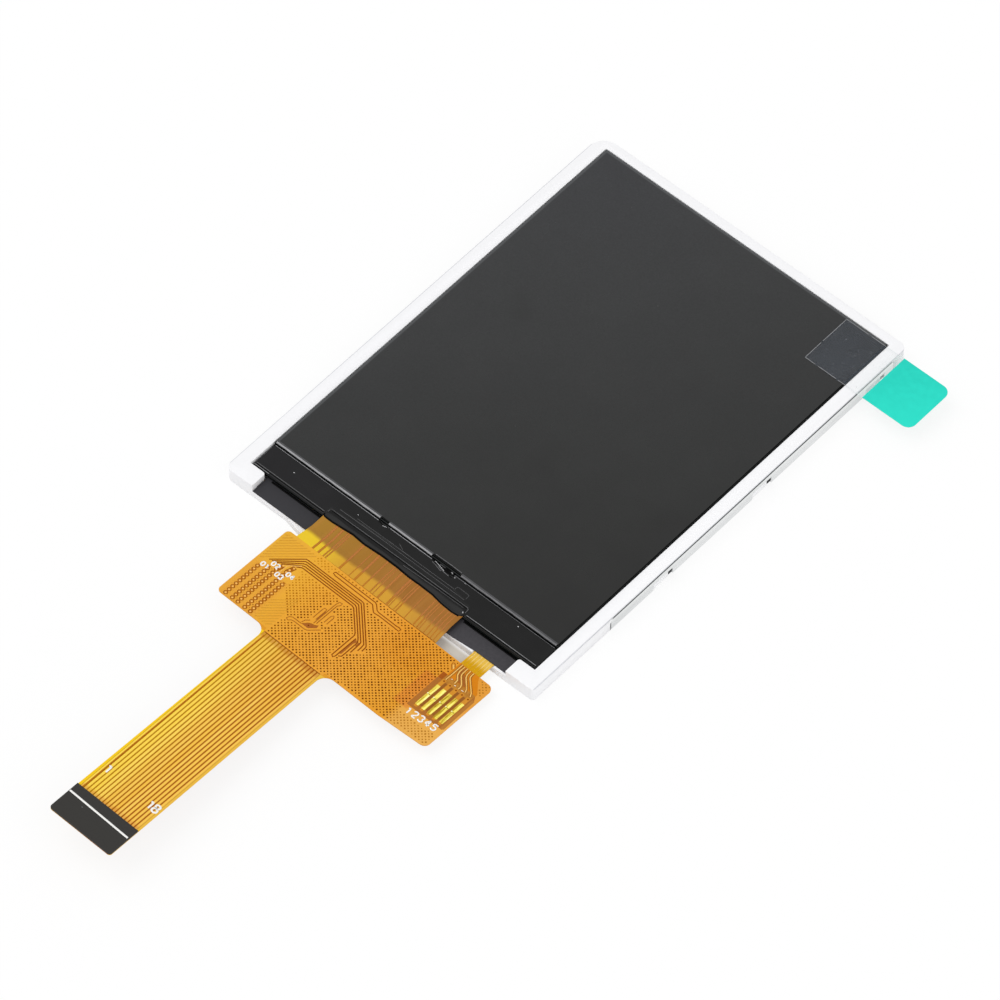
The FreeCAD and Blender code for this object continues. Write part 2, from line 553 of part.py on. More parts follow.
def makePullTab():
    for name, label, inside, level, thick in (
            ("PullStrip", "pull_tab_strip", "Dims.pullInner", pullLevel, "Dims.pullThick"),
            ("PullGrip", "pull_tab_grip", "Dims.gripInner", gripLevel, "Dims.gripThick")):
        body = newBody(name)
        pad(body, name + "Sheet", level, thick,
            box4(inside, "Dims.pullOuter", "Dims.pullLow", "Dims.pullHigh"))
        far, low, high = evaluate("Dims.pullOuter"), evaluate("Dims.pullLow"), evaluate("Dims.pullHigh")
        roundOff(body, name + "Corners", uprights(body.Tip, [(far, low), (far, high)]), "Dims.pullCorner")
        finish(body, label)


makeTray()
makeFrame()
makeBacklight()
makeRimTape()
makeCell()
makeLedge()
makeFlex()
makeFlexCover()
makeFlexDetails()
makePullTab()
doc.recompute()

for obj in doc.Objects:
    if "Invalid" in obj.State or "Error" in obj.State:
        raise ValueError("%s did not build: %s" % (obj.Label, obj.State))
for obj in finished:
    if obj.Shape.isNull() or not obj.Shape.isValid():
        raise ValueError("%s has no valid shape" % obj.Label)

os.makedirs("parts", exist_ok=True)
for obj in finished:
    obj.Shape.exportStep(os.path.join("parts", obj.Label + ".step"))
    box = obj.Shape.BoundBox
    print("%-22s solids %2d  volume %9.3f  x %7.2f %7.2f  y %7.2f %7.2f  z %6.3f %6.3f" % (
        obj.Label, len(obj.Shape.Solids), obj.Shape.Volume, box.XMin, box.XMax, box.YMin, box.YMax,
        box.ZMin, box.ZMax))
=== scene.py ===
import math
import bmesh
import bpy
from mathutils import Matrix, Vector
from mathutils.bvhtree import BVHTree


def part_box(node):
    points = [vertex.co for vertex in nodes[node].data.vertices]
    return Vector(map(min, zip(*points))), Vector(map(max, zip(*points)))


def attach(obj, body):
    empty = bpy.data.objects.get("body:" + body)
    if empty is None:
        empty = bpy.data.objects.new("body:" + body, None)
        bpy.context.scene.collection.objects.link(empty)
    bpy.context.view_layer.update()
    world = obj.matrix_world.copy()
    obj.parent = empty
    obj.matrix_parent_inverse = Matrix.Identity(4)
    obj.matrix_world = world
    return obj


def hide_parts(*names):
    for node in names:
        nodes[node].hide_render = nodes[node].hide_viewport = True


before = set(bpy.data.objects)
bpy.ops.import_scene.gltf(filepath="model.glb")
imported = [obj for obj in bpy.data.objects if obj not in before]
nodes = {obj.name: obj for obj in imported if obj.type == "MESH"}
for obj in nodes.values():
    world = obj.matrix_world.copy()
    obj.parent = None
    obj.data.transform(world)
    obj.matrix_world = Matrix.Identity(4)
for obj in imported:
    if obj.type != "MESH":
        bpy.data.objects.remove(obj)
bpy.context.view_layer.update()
mm = 0.001
print("frame loaded,", len(nodes), "nodes")


# node helpers, for materials, the world and Geometry Nodes

def tint(red, green, blue):
    # a colour as a paint program shows it, 0 to 255, as the shader wants it
    return [*[(c / 255 / 12.92 if c <= 10.3 else ((c / 255 + 0.055) / 1.055) ** 2.4)
              for c in (red, green, blue)], 1.0]


def feed(node, entry, value):
    # links a socket to one of the node's inputs, or sets a number, a vector or a colour of 0 to 255
    if isinstance(value, bpy.types.NodeSocket):
        node.id_data.links.new(value, node.inputs[entry])
    else:
        socket = node.inputs[entry]
        socket.default_value = tint(*value) if socket.type == "RGBA" else value


def addNode(tree, kind, values=(), **settings):
    # settings are the node's own switches, values its inputs by name or number
    node = tree.nodes.new(kind)
    for key, value in settings.items():
        setattr(node, key, value)
    for entry, value in dict(values).items():
        feed(node, entry, value)
    return node


def treeOf(*values):
    return next(value.id_data for value in values if isinstance(value, bpy.types.NodeSocket))


def noiseOn(place, scale, detail=3.0, stretch=None, roughness=0.5):
    # noise on the piece's own coordinates; stretch squeezes the pattern along an axis
    if stretch:
        place = addNode(place.id_data, "ShaderNodeMapping", {"Vector": place, "Scale": stretch}).outputs[0]
    noise = addNode(place.id_data, "ShaderNodeTexNoise", {"Vector": place, "Scale": scale, "Detail": detail,
                                                          "Roughness": roughness})
    return noise.outputs["Fac"]


def rampOf(share, stops):
    # stops are (place, colour)
    ramp = addNode(share.id_data, "ShaderNodeValToRGB", {"Fac": share})
    points = ramp.color_ramp.elements
    while len(points) < len(stops):
        points.new(0.5)
    for point, (where, colour) in zip(points, stops):
        point.position, point.color = where, tint(*colour)
    return ramp.outputs["Color"]


def spanOf(value, low, high, outLow=0.0, outHigh=1.0, kind="LINEAR"):
    # from outLow at low to outHigh at high, and level past them
    span = addNode(value.id_data, "ShaderNodeMapRange", {"Value": value, "From Min": low, "From Max": high,
                                                         "To Min": outLow, "To Max": outHigh},
                   interpolation_type=kind)
    return span.outputs["Result"]


def easeOf(value, low, high, peak=1.0):
    # a soft rise from 0 to peak, or a soft fall where low is past high
    return spanOf(value, low, high, 0.0, peak, "SMOOTHSTEP")


def mathOf(operation, *values):
    return addNode(treeOf(*values), "ShaderNodeMath", dict(enumerate(values)), operation=operation).outputs[0]


def plus(first, second):
    return mathOf("ADD", first, second)


def times(first, second):
    return mathOf("MULTIPLY", first, second)


def mixOf(share, first, second, blend="MIX"):
    mix = addNode(treeOf(share, first, second), "ShaderNodeMix", {0: share, 6: first, 7: second},
                  data_type="RGBA", blend_type=blend)
    return mix.outputs[2]


def layersOf(base, *layers):
    # each layer is (share, colour) and lies over those before it
    for share, colour in layers:
        base = mixOf(share, base, colour)
    return base


def axesOf(place):
    # X, Y and Z in millimetres
    inMm = addNode(place.id_data, "ShaderNodeVectorMath", {0: place, "Scale": 1 / mm}, operation="SCALE")
    split = addNode(place.id_data, "ShaderNodeSeparateXYZ", {0: inMm.outputs[0]})
    return split.outputs[0], split.outputs[1], split.outputs[2]


def bandOf(value, low, high, soft):
    # 1 between low and high, fading out over soft
    return times(easeOf(value, low - soft, low + soft), easeOf(value, high + soft, high - soft))


def bumpFrom(shader, height, strength, depth):
    bump = addNode(shader.id_data, "ShaderNodeBump", {"Height": height, "Strength": strength,
                                                      "Distance": depth * mm})
    feed(shader, "Normal", bump.outputs["Normal"])


def uneven(shader, noise, low, high):
    # roughness that wanders between low and high
    feed(shader, "Roughness", spanOf(noise, 0.3, 0.7, low, high))


shaderNames = {"roughness": "Roughness", "metallic": "Metallic", "gloss": "Specular IOR Level",
               "clear": "Transmission Weight", "brushed": "Anisotropic"}


def newMaterial(name, **values):
    # a Principled shader, and the place on the piece that its patterns follow
    material = bpy.data.materials.new(name)
    material.use_nodes = True
    shader = material.node_tree.nodes["Principled BSDF"]
    for key, value in values.items():
        feed(shader, shaderNames[key], value)
    return shader, addNode(material.node_tree, "ShaderNodeTexCoord").outputs["Object"]


def plainFinish(name, low, high, rough=0.45, gloss=0.2, scale=1200, spread=0.15, roughScale=None, clear=0.0):
    # one tone that wanders a little to another, its shine a little uneven
    shader, place = newMaterial(name, roughness=rough, gloss=gloss, clear=clear)
    feed(shader, "Base Color", mixOf(noiseOn(place, scale), low, high))
    uneven(shader, noiseOn(place, roughScale or scale, 2), rough * (1 - spread), rough * (1 + spread))


# camera, light and floor

view = {"turn": 41.796, "rise": 53.692, "aimX": 2.175, "aimY": -14.93, "away": 1080.52, "lens": 320.46,
        "sensor": 36, "nearest": 0.02, "farthest": 20}
light = {"room": 0.62, "keyStrength": 0.9, "keySoftness": 55, "fillStrength": 0.73, "fillSoftness": 70}
paper = {"half": 3.0, "depth": 0.02, "litShare": 0.16, "tones": [(252.7, 252.7, 252.7), (253.9, 253.9, 253.9)],
         "slotX": (9.5, 16.5, 0.8), "slotY": (-37.2, -34.6, 0.5), "slotShadowTone": (206.4, 199.6, 187.5),
         "slotShare": 0.9}


def addToScene(name, data):
    item = bpy.data.objects.new(name, data)
    bpy.context.scene.collection.objects.link(item)
    return item


def placeCamera():
    turn, rise = math.radians(view["turn"]), math.radians(view["rise"])
    back = Vector((math.sin(turn) * math.cos(rise), -math.cos(turn) * math.cos(rise), math.sin(rise)))
    data = bpy.data.cameras.new("viewCamera")
    data.lens, data.sensor_width = view["lens"], view["sensor"]
    data.clip_start, data.clip_end = view["nearest"], view["farthest"]
    camera = addToScene("viewCamera", data)
    camera.location = Vector((view["aimX"], view["aimY"], 0)) * mm + back * view["away"] * mm
    camera.rotation_euler = (-back).to_track_quat("-Z", "Y").to_euler()
    bpy.context.scene.camera = camera


def addSun(name, strength, softness, towards):
    data = bpy.data.lights.new(name, "SUN")
    data.energy, data.angle = strength, math.radians(softness)
    addToScene(name, data).rotation_euler = Vector(towards).to_track_quat("-Z", "Y").to_euler()


def seenBy(tree):
    # 1 for what the camera sees, also in a mirror or through glass, and 0 for the light's own rays
    rays = addNode(tree, "ShaderNodeLightPath").outputs
    return mathOf("MAXIMUM", mathOf("MAXIMUM", rays["Is Camera Ray"], rays["Is Glossy Ray"]),
                  rays["Is Transmission Ray"])


def makeRoom():
    world = bpy.data.worlds.new("studioRoom")
    world.use_nodes = True
    background = world.node_tree.nodes["Background"]
    feed(background, "Color", (255, 255, 255))
    feed(background, "Strength", spanOf(seenBy(world.node_tree), 0, 1, light["room"], 1.0))
    bpy.context.scene.world = world


def makeFloor():
    # white for what looks at it, with a share of lit paper that keeps the shadow, most of it in the slot between
    # the circuit's neck and its arm, where the paper also has a painted shadow tone
    shader, place = newMaterial("paperFloor", roughness=0.9, gloss=0.0)
    tree = shader.id_data
    x, y = axesOf(place)[:2]
    slot = times(bandOf(x, *paper["slotX"]), bandOf(y, *paper["slotY"]))
    sheet = mixOf(noiseOn(place, 900, 4), *paper["tones"])
    # painted shadow: the paper is darker and warmer in the slot
    feed(shader, "Base Color", mixOf(slot, sheet, paper["slotShadowTone"]))
    litShare = spanOf(slot, 0, 1, paper["litShare"], paper["slotShare"])
    glow = addNode(tree, "ShaderNodeEmission", {"Strength": 1.0})
    mix = addNode(tree, "ShaderNodeMixShader", {0: times(seenBy(tree), mathOf("SUBTRACT", 1.0, litShare)),
                                                1: shader.outputs[0], 2: glow.outputs[0]})
    feed(tree.nodes["Material Output"], "Surface", mix.outputs[0])
    mesh = bpy.data.meshes.new("paperFloor")
    corners = [(x * paper["half"], y * paper["half"], -paper["depth"] * mm) for x, y in
               [(-1, -1), (1, -1), (1, 1), (-1, 1)]]
    mesh.from_pydata(corners, [], [(0, 1, 2, 3)])
    mesh.materials.append(bpy.data.materials["paperFloor"])
    floor = addToScene("paperFloor", mesh)


placeCamera()
bpy.context.scene.view_settings.view_transform = "Standard"
addSun("keyLight", light["keyStrength"], light["keySoftness"], (0.55, 0.25, -1.0))
addSun("fillLight", light["fillStrength"], light["fillSoftness"], (-0.85, 0.1, -0.75))
makeRoom()
makeFloor()
print("camera, light and floor done")


# shape helpers

def addPiece(name, mesh, finish):
    mesh.materials.append(bpy.data.materials[finish])
    return addToScene(name, mesh)


def settle(piece, slot, *replaced):
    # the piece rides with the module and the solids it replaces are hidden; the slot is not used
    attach(piece, "root")
    if replaced:
        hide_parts(*replaced)
    return piece


def dress(nodeFinish):
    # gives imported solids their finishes
    for name, finish in nodeFinish.items():
        nodes[name].data.materials.clear()
        nodes[name].data.materials.append(bpy.data.materials[finish])


def meshFrom(piece):
    # what the piece's modifiers make of it, as a plain mesh under the piece's own name
    before = piece.data
    made = bpy.data.meshes.new_from_object(piece.evaluated_get(bpy.context.evaluated_depsgraph_get()))
    piece.modifiers.clear()
    piece.data = made
    bpy.data.meshes.remove(before)
    made.name = piece.name
    return made


def smoothBut(mesh, sharpAngle):
    mesh.shade_smooth()
    mesh.set_sharp_from_angle(angle=math.radians(sharpAngle))


solidCopy = {"merge": 0.0005, "flat": 1.0, "sharp": 35}


def roundedCopy(node, name, finish, bevel, segments):
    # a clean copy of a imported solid, its sharp edges softly rounded
    work = bmesh.new()
    work.from_mesh(nodes[node].data)
    bmesh.ops.remove_doubles(work, verts=work.verts, dist=solidCopy["merge"] * mm)
    bmesh.ops.dissolve_limit(work, angle_limit=math.radians(solidCopy["flat"]), verts=work.verts,
                             edges=work.edges)
    mesh = bpy.data.meshes.new(name)
    work.to_mesh(mesh)
    work.free()
    piece = addToScene(name, mesh)
    rounding = piece.modifiers.new("rounding", "BEVEL")
    rounding.width, rounding.segments = bevel * mm, segments
    rounding.limit_method, rounding.angle_limit = "ANGLE", math.radians(solidCopy["sharp"])
    rounding.harden_normals = False
    made = meshFrom(piece)
    smoothBut(made, solidCopy["sharp"])
    made.materials.clear()
    made.materials.append(bpy.data.materials[finish])
    return piece


# finishes of the module's own parts

def whiteMouldFinish():
    # white moulding, greyer along its outer top edge as painted shade, with painted dark shade in the slit where
    # the shell's wall ends
    shader, place = newMaterial("whiteMould", roughness=0.42, gloss=0.42)
    x, y, z = axesOf(place)
    side = mathOf("ABSOLUTE", x)
    # painted shade: greyer along the outer top edge
    rim = times(easeOf(side, 24.84, 24.94), easeOf(z, 2.02, 2.12, 0.75))
    # painted shade: dark in the slit where the shell's wall ends
    slitShade = times(times(bandOf(y, -20.62, -20.4, 0.02), spanOf(z, 1.5, 1.4)), spanOf(side, 24.7, 24.75))
    tone = mixOf(noiseOn(place, 70, 4, (1, 0.25, 1)), (243, 243, 246), (249, 249, 250))
    feed(shader, "Base Color", layersOf(tone, (rim, (205, 207, 212)), (slitShade, (52, 53, 54))))
    uneven(shader, noiseOn(place, 1400), 0.36, 0.5)
    bumpFrom(shader, noiseOn(place, 5200, 2), 0.12, 0.02)


def brightSteelFinish():
    # rolled sheet: fine lines along the module, greyer smears, a painted brighter reflection on the upper half
    # of the walls and a painted shadow line where they end under the rim
    shader, place = newMaterial("brightSteel", metallic=1.0, roughness=0.3, brushed=0.35)
    x, y, z = axesOf(place)
    lines = noiseOn(place, 260, 5, (14, 0.5, 14), 0.6)
    smear = noiseOn(place, 95, 3, (1, 0.4, 1))
    # painted shadow line under the rim
    rimShadow = times(spanOf(mathOf("ABSOLUTE", x), 24.7, 24.8), easeOf(z, 1.82, 1.88))
    # the paler upper half of the walls is a painted reflection
    feed(shader, "Base Color", layersOf(
        mixOf(lines, (214, 216, 216), (238, 239, 240)), (easeOf(smear, 0.35, 0.75, 0.55), (201, 204, 203)),
        (easeOf(z, 1.0, 1.7, 0.6), (240, 242, 241)), (rimShadow, (72, 74, 74))))
    feed(shader, "Roughness", spanOf(plus(lines, smear), 0.7, 1.4, 0.2, 0.42))
    bumpFrom(shader, lines, 0.1, 0.03)


def screenFinish():
    # dark screen under its film: paler to the far left corner as a painted reflection, with a grain, faint
    # smudges, a painted grey highlight along the film's edge on two sides and fine dust
    shader, place = newMaterial("screenFilm", roughness=0.24, gloss=0.36)
    x, y = axesOf(place)[:2]
    # painted reflection: paler towards the far left corner
    drift = plus(times(spanOf(x, -23, 23), 0.45), times(spanOf(y, 33, -28), 0.55))
    wander = plus(drift, spanOf(noiseOn(place, 28), 0, 1, -0.12, 0.12))
    base = rampOf(wander, [(0.0, (43, 44, 47)), (0.25, (39, 40, 41)), (0.5, (30, 31, 31)), (0.75, (20, 21, 20)),
                           (1.0, (8, 8, 6))])
    grain = spanOf(noiseOn(place, 5200, 2, None, 0.7), 0.3, 0.7, 0.82, 1.18)
    smudge = easeOf(noiseOn(place, 62, 2), 0.62, 0.76)
    # painted highlight along the film's edge on the left and far sides
    border = mathOf("MAXIMUM", easeOf(x, -22.45, -22.65, 0.55), easeOf(y, 32.6, 32.8, 0.55))
    dust = spanOf(noiseOn(place, 1300, 2, None, 0.4), 0.8, 0.83, 0, 0.6)
    feed(shader, "Base Color", layersOf(mixOf(1.0, base, grain, "MULTIPLY"), (times(smudge, 0.7), (9, 9, 8)),
                                        (border, (88, 90, 92)), (dust, (150, 150, 150))))
    feed(shader, "Roughness", plus(spanOf(noiseOn(place, 180, 4), 0.3, 0.7, 0.2, 0.3), times(smudge, 0.06)))
    bumpFrom(shader, noiseOn(place, 2600), 0.05, 0.01)


def polariserFinish():
    shader, place = newMaterial("polariserFilm", roughness=0.22, gloss=0.2)
    feed(shader, "Base Color", mixOf(noiseOn(place, 900), (8, 8, 9), (16, 16, 16)))
    uneven(shader, noiseOn(place, 300), 0.16, 0.3)


def glassFinish():
    shader, place = newMaterial("panelGlass", roughness=0.08, gloss=0.3)
    edge = noiseOn(place, 700, 4, (1, 1, 0.2))
    feed(shader, "Base Color", mixOf(edge, (9, 11, 11), (24, 27, 26)))
    uneven(shader, edge, 0.03, 0.16)


def tapeFinish():
    # matt black tape with a fine tooth, a little paler to the right, where more light falls
    shader, place = newMaterial("blackTape", roughness=0.6, gloss=0.3)
    x = axesOf(place)[0]
    tooth = spanOf(noiseOn(place, 2400), 0.3, 0.7, 0, 0.5)
    feed(shader, "Base Color", layersOf(mixOf(easeOf(x, -12, 14), (42, 41, 45), (59, 57, 61)),
                                        (tooth, (40, 40, 44))))
    bumpFrom(shader, noiseOn(place, 6000), 0.25, 0.02)


def greenTabFinish():
    # green film, brighter towards the near corner
    shader, place = newMaterial("greenTab", roughness=0.36, gloss=0.27)
    x, y = axesOf(place)[:2]
    base = mixOf(spanOf(mathOf("SUBTRACT", x, y), -6, 8), (18, 204, 184), (30, 221, 199))
    fleck = spanOf(noiseOn(place, 1100), 0.35, 0.7, 0, 0.35)
    feed(shader, "Base Color", mixOf(fleck, base, (38, 228, 206)))
    bumpFrom(shader, noiseOn(place, 500), 0.08, 0.03)


for makeFinish in (whiteMouldFinish, brightSteelFinish, screenFinish, polariserFinish, glassFinish, tapeFinish,
                   greenTabFinish):
    makeFinish()
# hidden parts: two tones, roughness and how clear
hiddenFinishes = {"opticSheet": ((232, 232, 230), (246, 246, 245), 0.5, 0.0),
                  "guideAcrylic": ((222, 232, 238), (236, 243, 247), 0.1, 0.4),
                  "lampWhite": ((238, 232, 205), (246, 240, 150), 0.45, 0.0),
                  "sealGrey": ((96, 96, 95), (130, 130, 128), 0.5, 0.0),
                  "chipSilicon": ((42, 42, 48), (60, 60, 68), 0.12, 0.0)}
for name, (low, high, rough, clear) in hiddenFinishes.items():
    plainFinish(name, low, high, rough, 0.5, 400, 0.2, 900, clear)
print("module finishes done")

dress({"back_shell": "brightSteel", "mould_frame": "whiteMould", "reflector_sheet": "opticSheet",
       "diffuser_sheet": "opticSheet", "lower_prism_sheet": "opticSheet", "upper_prism_sheet": "opticSheet",
       "light_guide": "guideAcrylic", "backlight_leds": "lampWhite", "rim_tape": "blackTape",
       "rear_polariser": "polariserFilm", "front_polariser": "polariserFilm", "array_glass": "panelGlass",
       "colour_filter_glass": "panelGlass", "cell_seal": "sealGrey", "driver_chip": "chipSilicon",
       "protective_film": "screenFilm", "pull_tab_grip": "greenTab"})
edges = {"frameBevel": 0.13, "frameSteps": 2, "shellBevel": 0.05, "shellSteps": 1}
settle(roundedCopy("mould_frame", "frameBody", "whiteMould", edges["frameBevel"], edges["frameSteps"]),
       "white_mould", "mould_frame")
settle(roundedCopy("back_shell", "shellBody", "brightSteel", edges["shellBevel"], edges["shellSteps"]),
       "bright_steel", "back_shell")
print("frame and shell done")


# Geometry Nodes trees: lines, rows of dots and a hatch that lie on a surface

def socketOf(tree, kind, values=(), output=0, **settings):
    # a new node's output, ready to feed the next node
    return addNode(tree, kind, values, **settings).outputs[output]


def openTree(name, inputs):
    # a tree that takes a mesh and the named inputs, and gives a mesh
    tree = bpy.data.node_groups.new(name, "GeometryNodeTree")
    tree.interface.new_socket(name="Geometry", in_out="INPUT", socket_type="NodeSocketGeometry")
    for label, kind in inputs.items():
        tree.interface.new_socket(name=label, in_out="INPUT", socket_type="NodeSocket" + kind)
    tree.interface.new_socket(name="Geometry", in_out="OUTPUT", socket_type="NodeSocketGeometry")
    return tree, tree.nodes.new("NodeGroupInput").outputs


def closeTree(tree, given, shape):
    # every tree ends in one plain mesh with its finish
    whole = socketOf(tree, "GeometryNodeRealizeInstances", {0: shape})
    painted = socketOf(tree, "GeometryNodeSetMaterial", {0: whole, "Material": given["Finish"]})
    addNode(tree, "NodeGroupOutput", {0: painted})
    return tree


dropRay = {"above": 0.05, "reach": 0.2}


def dropped(tree, given, points):
    # points that fall straight down onto the surface, and its normal there; those that miss it stay
    surface = socketOf(tree, "GeometryNodeObjectInfo", {"Object": given["Surface"]}, "Geometry",
                       transform_space="RELATIVE")
    high = socketOf(tree, "ShaderNodeVectorMath", {0: socketOf(tree, "GeometryNodeInputPosition"),
                                                   1: (0, 0, dropRay["above"])}, operation="ADD")
    fall = addNode(tree, "GeometryNodeRaycast", {"Target Geometry": surface, "Source Position": high,
                                                 "Ray Direction": (0, 0, -1),
                                                 "Ray Length": dropRay["reach"]}).outputs
    lift = socketOf(tree, "ShaderNodeCombineXYZ", {"Z": given["Lift"]})
    return socketOf(tree, "GeometryNodeSetPosition", {
        "Geometry": points, "Selection": fall["Is Hit"], "Position": fall["Hit Position"],
        "Offset": lift}), fall["Hit Normal"]


def makeLineTree():
    # flat lines with rounded corners
    tree, given = openTree("linesOnSurface", {
        "Surface": "Object", "Width": "Float", "Thickness": "Float", "Lift": "Float", "Corner Radius": "Float",
        "Step": "Float", "Finish": "Material"})
    curve = socketOf(tree, "GeometryNodeMeshToCurve", {0: given["Geometry"]})
    corners = socketOf(tree, "GeometryNodeFilletCurve", {
        0: curve, "Radius": given["Corner Radius"], "Count": 4, "Limit Radius": True}, mode="POLY")
    steps = socketOf(tree, "GeometryNodeResampleCurve", {0: corners, "Length": given["Step"]}, mode="LENGTH")
    laid, normal = dropped(tree, given, steps)
    across = socketOf(tree, "ShaderNodeVectorMath", {0: normal, 1: socketOf(tree, "GeometryNodeInputTangent")},
                      operation="CROSS_PRODUCT")
    level = socketOf(tree, "GeometryNodeSetCurveNormal", {0: laid, "Normal": across}, mode="FREE")
    section = socketOf(tree, "GeometryNodeCurvePrimitiveQuadrilateral", {
        "Width": given["Width"], "Height": given["Thickness"]}, mode="RECTANGLE")
    return closeTree(tree, given, socketOf(tree, "GeometryNodeCurveToMesh", {
        "Curve": level, "Profile Curve": section, "Fill Caps": True}))


dotInputs = {"Surface": "Object", "Pitch": "Float", "Sides": "Int", "Radius": "Float", "Thickness": "Float",
             "Lift": "Float", "Smallest": "Float", "Largest": "Float", "Seed": "Int", "Finish": "Material"}


def addDots(tree, given, points):
    # small flat prisms on the points, turned to the surface, each a little different in size
    laid, normal = dropped(tree, given, points)
    turn = socketOf(tree, "FunctionNodeAlignRotationToVector", {"Vector": normal}, axis="Z")
    size = socketOf(tree, "FunctionNodeRandomValue", {
        2: given["Smallest"], 3: given["Largest"], "Seed": given["Seed"]}, 1, data_type="FLOAT")
    disc = socketOf(tree, "GeometryNodeMeshCylinder", {
        "Vertices": given["Sides"], "Side Segments": 1, "Radius": given["Radius"],
        "Depth": given["Thickness"]}, "Mesh", fill_type="NGON")
    scale = socketOf(tree, "ShaderNodeCombineXYZ", {"X": size, "Y": size, "Z": 1.0})
    return closeTree(tree, given, socketOf(tree, "GeometryNodeInstanceOnPoints", {
        "Points": laid, "Instance": disc, "Rotation": turn, "Scale": scale}))


def makeRowTree():
    # a dot at every pitch along the lines
    tree, given = openTree("dotsAlongLines", dotInputs)
    curve = socketOf(tree, "GeometryNodeMeshToCurve", {0: given["Geometry"]})
    return addDots(tree, given, socketOf(tree, "GeometryNodeResampleCurve", {
        0: curve, "Length": given["Pitch"]}, mode="LENGTH"))


def makeHatchTree(touching=1e-6):
    # a turned square grid of dots that fills the flat areas and keeps clear of the loose lines
    tree, given = openTree("hatchOnSurface", {**dotInputs, "Turn": "Float", "Count": "Int",
                                              "Clearance": "Float"})
    isLine = socketOf(tree, "GeometryNodeInputNamedAttribute", {"Name": "keepClear"}, data_type="BOOLEAN")
    parts = addNode(tree, "GeometryNodeSeparateGeometry", {0: given["Geometry"], "Selection": isLine},
                    domain="POINT").outputs
    lines, areas = parts["Selection"], parts["Inverted"]
    box = addNode(tree, "GeometryNodeBoundBox", {0: areas}).outputs
    middle = socketOf(tree, "ShaderNodeMix", {"Factor": 0.5, 4: box["Min"], 5: box["Max"]}, 1,
                      data_type="VECTOR")
    side = times(mathOf("SUBTRACT", given["Count"], 1.0), given["Pitch"])
    grid = socketOf(tree, "GeometryNodeMeshGrid", {
        "Size X": side, "Size Y": side, "Vertices X": given["Count"], "Vertices Y": given["Count"]})
    turned = socketOf(tree, "GeometryNodeTransform", {
        0: grid, "Translation": middle, "Rotation": socketOf(tree, "ShaderNodeCombineXYZ",
                                                             {"Z": given["Turn"]})})
    toArea = socketOf(tree, "GeometryNodeProximity", {0: areas}, "Distance", target_element="FACES")
    toLine = socketOf(tree, "GeometryNodeProximity", {0: lines}, "Distance", target_element="EDGES")
    kept = times(mathOf("LESS_THAN", toArea, touching), mathOf("GREATER_THAN", toLine, given["Clearance"]))
    return addDots(tree, given, socketOf(tree, "GeometryNodeMeshToPoints", {"Mesh": turned, "Selection": kept},
                                         "Points", mode="VERTICES"))


lineTree, rowTree, hatchTree = makeLineTree(), makeRowTree(), makeHatchTree()


def runTree(name, mesh, tree, values):
    # the modifier's inputs are set by identifier, and its result is kept as a plain mesh
    piece = addToScene(name, mesh)
    modifier = piece.modifiers.new("build", "NODES")
    modifier.node_group = tree
    for socket in tree.interface.items_tree:
        if socket.in_out == "INPUT" and socket.name in values:
            modifier[socket.identifier] = values[socket.name]
    meshFrom(piece)
    return piece


def meshOfLines(name, lines, areas=()):
    # lines and filled areas in millimetres seen from above; lines are marked to be kept clear of
    mesh = bpy.data.meshes.new(name)
    corners, edges, faces = [], [], []
    for line in lines:
        first = len(corners)
        corners += [(x * mm, y * mm, 0) for x, y in line]
        edges += [(i, i + 1) for i in range(first, len(corners) - 1)]
    lineCount = len(corners)
    for area in areas:
        first = len(corners)
        corners += [(x * mm, y * mm, 0) for x, y in area]
        faces.append(tuple(range(first, len(corners))))
    mesh.from_pydata(corners, edges, faces)
    if areas:
        mark = mesh.attributes.new("keepClear", "BOOLEAN", "POINT")
        for index in range(len(corners)):
            mark.data[index].value = index < lineCount
    return mesh


def surfaceNamed(name):
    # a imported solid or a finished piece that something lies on
    return nodes[name] if name in nodes else bpy.data.objects[name]


def layOn(name, place, mesh, tree, finish, lengths, **values):
    # a place is a surface and the slot of what lies on it; the lengths are in millimetres
    surface, slot = place
    values.update({label: length * mm for label, length in lengths.items()})
    values.update({"Surface": surfaceNamed(surface), "Finish": bpy.data.materials[finish]})
    return settle(runTree(name, mesh, tree, values), slot)


def linesOn(name, place, lines, width, finish, thickness=0.008, lift=0.002, corner=0.25, step=0.4):
    layOn(name, place, meshOfLines(name, lines), lineTree, finish, {
        "Width": width, "Thickness": thickness, "Lift": lift, "Corner Radius": corner, "Step": step})


def dotsOn(name, place, lines, radius, pitch, finish, lift, thickness=0.008, smallest=0.9, largest=1.1, seed=3):
    layOn(name, place, meshOfLines(name, lines), rowTree, finish, {
        "Pitch": pitch, "Radius": radius, "Thickness": thickness, "Lift": lift},
        Sides=4, Smallest=smallest, Largest=largest, Seed=seed)


def hatchOn(name, place, pattern, clearOf, finish):
    layOn(name, place, meshOfLines(name, clearOf, pattern["areas"]), hatchTree, finish, {
        "Pitch": pattern["pitch"], "Radius": pattern["opening"], "Thickness": pattern["thickness"],
        "Lift": pattern["lift"], "Clearance": pattern["clearance"]},
        Sides=4, Smallest=pattern["smallest"], Largest=pattern["largest"], Seed=pattern["seed"],
        Turn=math.radians(pattern["turn"]), Count=pattern["count"])


print("trees for lines, rows and hatch done")


# the flexible circuit

